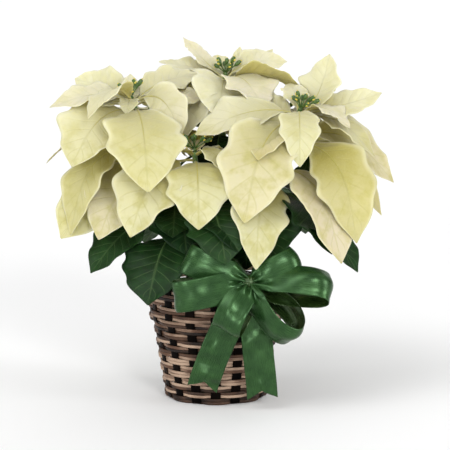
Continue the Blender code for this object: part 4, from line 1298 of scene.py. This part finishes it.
def make_wire():
    """From behind the bow's waist, over the rim and down into the soil."""
    waist = BOW_WAIST + Vector((0, WAIST_RADIUS + GAP, 0))
    steps = ((0, 0, 0), (0, 6, 1.5), (-1, 16, 4), (-1, 27, 5), (-2, 37, 3), (-3, 46, -5), (-3.5, 53, -16))
    sinks = [Vector((SOIL_WIRE_FOOT.x, SOIL_WIRE_FOOT.y, z)) for z in (0.140, 0.130)]
    route = [*(waist + mm(*step) for step in steps), *sinks, SOIL_WIRE_FOOT]
    builder = Builder()
    sweep(builder, smooth_path(route, 6), round_section(WIRE_RADIUS))
    builder.piece("tie_wire", (WIRE,), "wire_green", "bow_wire")


# Stage, light and camera


def make_stage():
    """A plain pale floor that runs on out of view."""
    mesh = bpy.data.meshes.new("floor")
    corners = [(FLOOR_REACH * x, FLOOR_REACH * y, 0) for x, y in ((-1, -1), (1, -1), (1, 1), (-1, 1))]
    mesh.from_pydata(corners, [], [(0, 1, 2, 3)])
    recipe = Recipe("floor_white", Roughness=0.9)
    recipe.colour(recipe.coats((0.93, 0.93, 0.93), (recipe.noise(2.0, 2.0), (0.95, 0.95, 0.95))))
    mesh.materials.append(recipe.material)
    floor = bpy.data.objects.new("floor", mesh)
    floor.location.z = -FLOOR_DROP
    bpy.context.scene.collection.objects.link(floor)


def make_light():
    """A sky of soft boxes: each is brightest where it is aimed and fades round that."""
    world = bpy.data.worlds.new("studio")
    world.use_nodes = True
    tree = world.node_tree
    heading = make_node(tree, "TexCoord", out="Generated")
    total = AMBIENT
    for aim, sharpness, strength in SOFTBOXES:
        aim = Vector(aim).normalized()
        facing = make_node(tree, "VectorMath", heading, aim, operation="DOT_PRODUCT", out="Value")
        total = facing.math("MAXIMUM", 0.0).math("POWER", sharpness) * strength + total
    background = tree.nodes["Background"]
    background.inputs[0].default_value = (1.0, 1.0, 1.0, 1.0)
    feed(background.inputs[1], total)
    bpy.context.scene.world = world
    bpy.context.scene.view_settings.view_transform = "Standard"


def make_camera():
    camera = bpy.data.cameras.new("camera")
    camera.sensor_width = SENSOR
    camera.lens = SENSOR * FOCAL_PIXELS / IMAGE_WIDTH
    elevation = math.radians(VIEW_ELEVATION)
    back = Vector((0.0, -math.cos(elevation), math.sin(elevation)))
    obj = bpy.data.objects.new("camera", camera)
    obj.location = VIEW_TARGET + back * VIEW_DISTANCE
    obj.rotation_euler = (-back).to_track_quat("-Z", "Y").to_euler()
    bpy.context.scene.collection.objects.link(obj)
    bpy.context.scene.camera = obj


make_basket_wall()
make_basket_rim()
make_basket_base()
make_pot()
make_soil()
for number, (bloom_name, bloom) in enumerate(BLOOMS.items()):
    make_bloom(bloom_name, bloom, number + 1)
    make_foliage(bloom_name, bloom, number + 1)
    make_cups(bloom_name, bloom, number + 1)
make_knot()
for number, loop in enumerate(LOOPS):
    make_loop(number, loop)
make_tail("ribbon_tail_left", LEFT_TAIL, 61)
make_tail("ribbon_tail_right", RIGHT_TAIL, 62)
make_wire()
make_stage()
make_light()
make_camera()
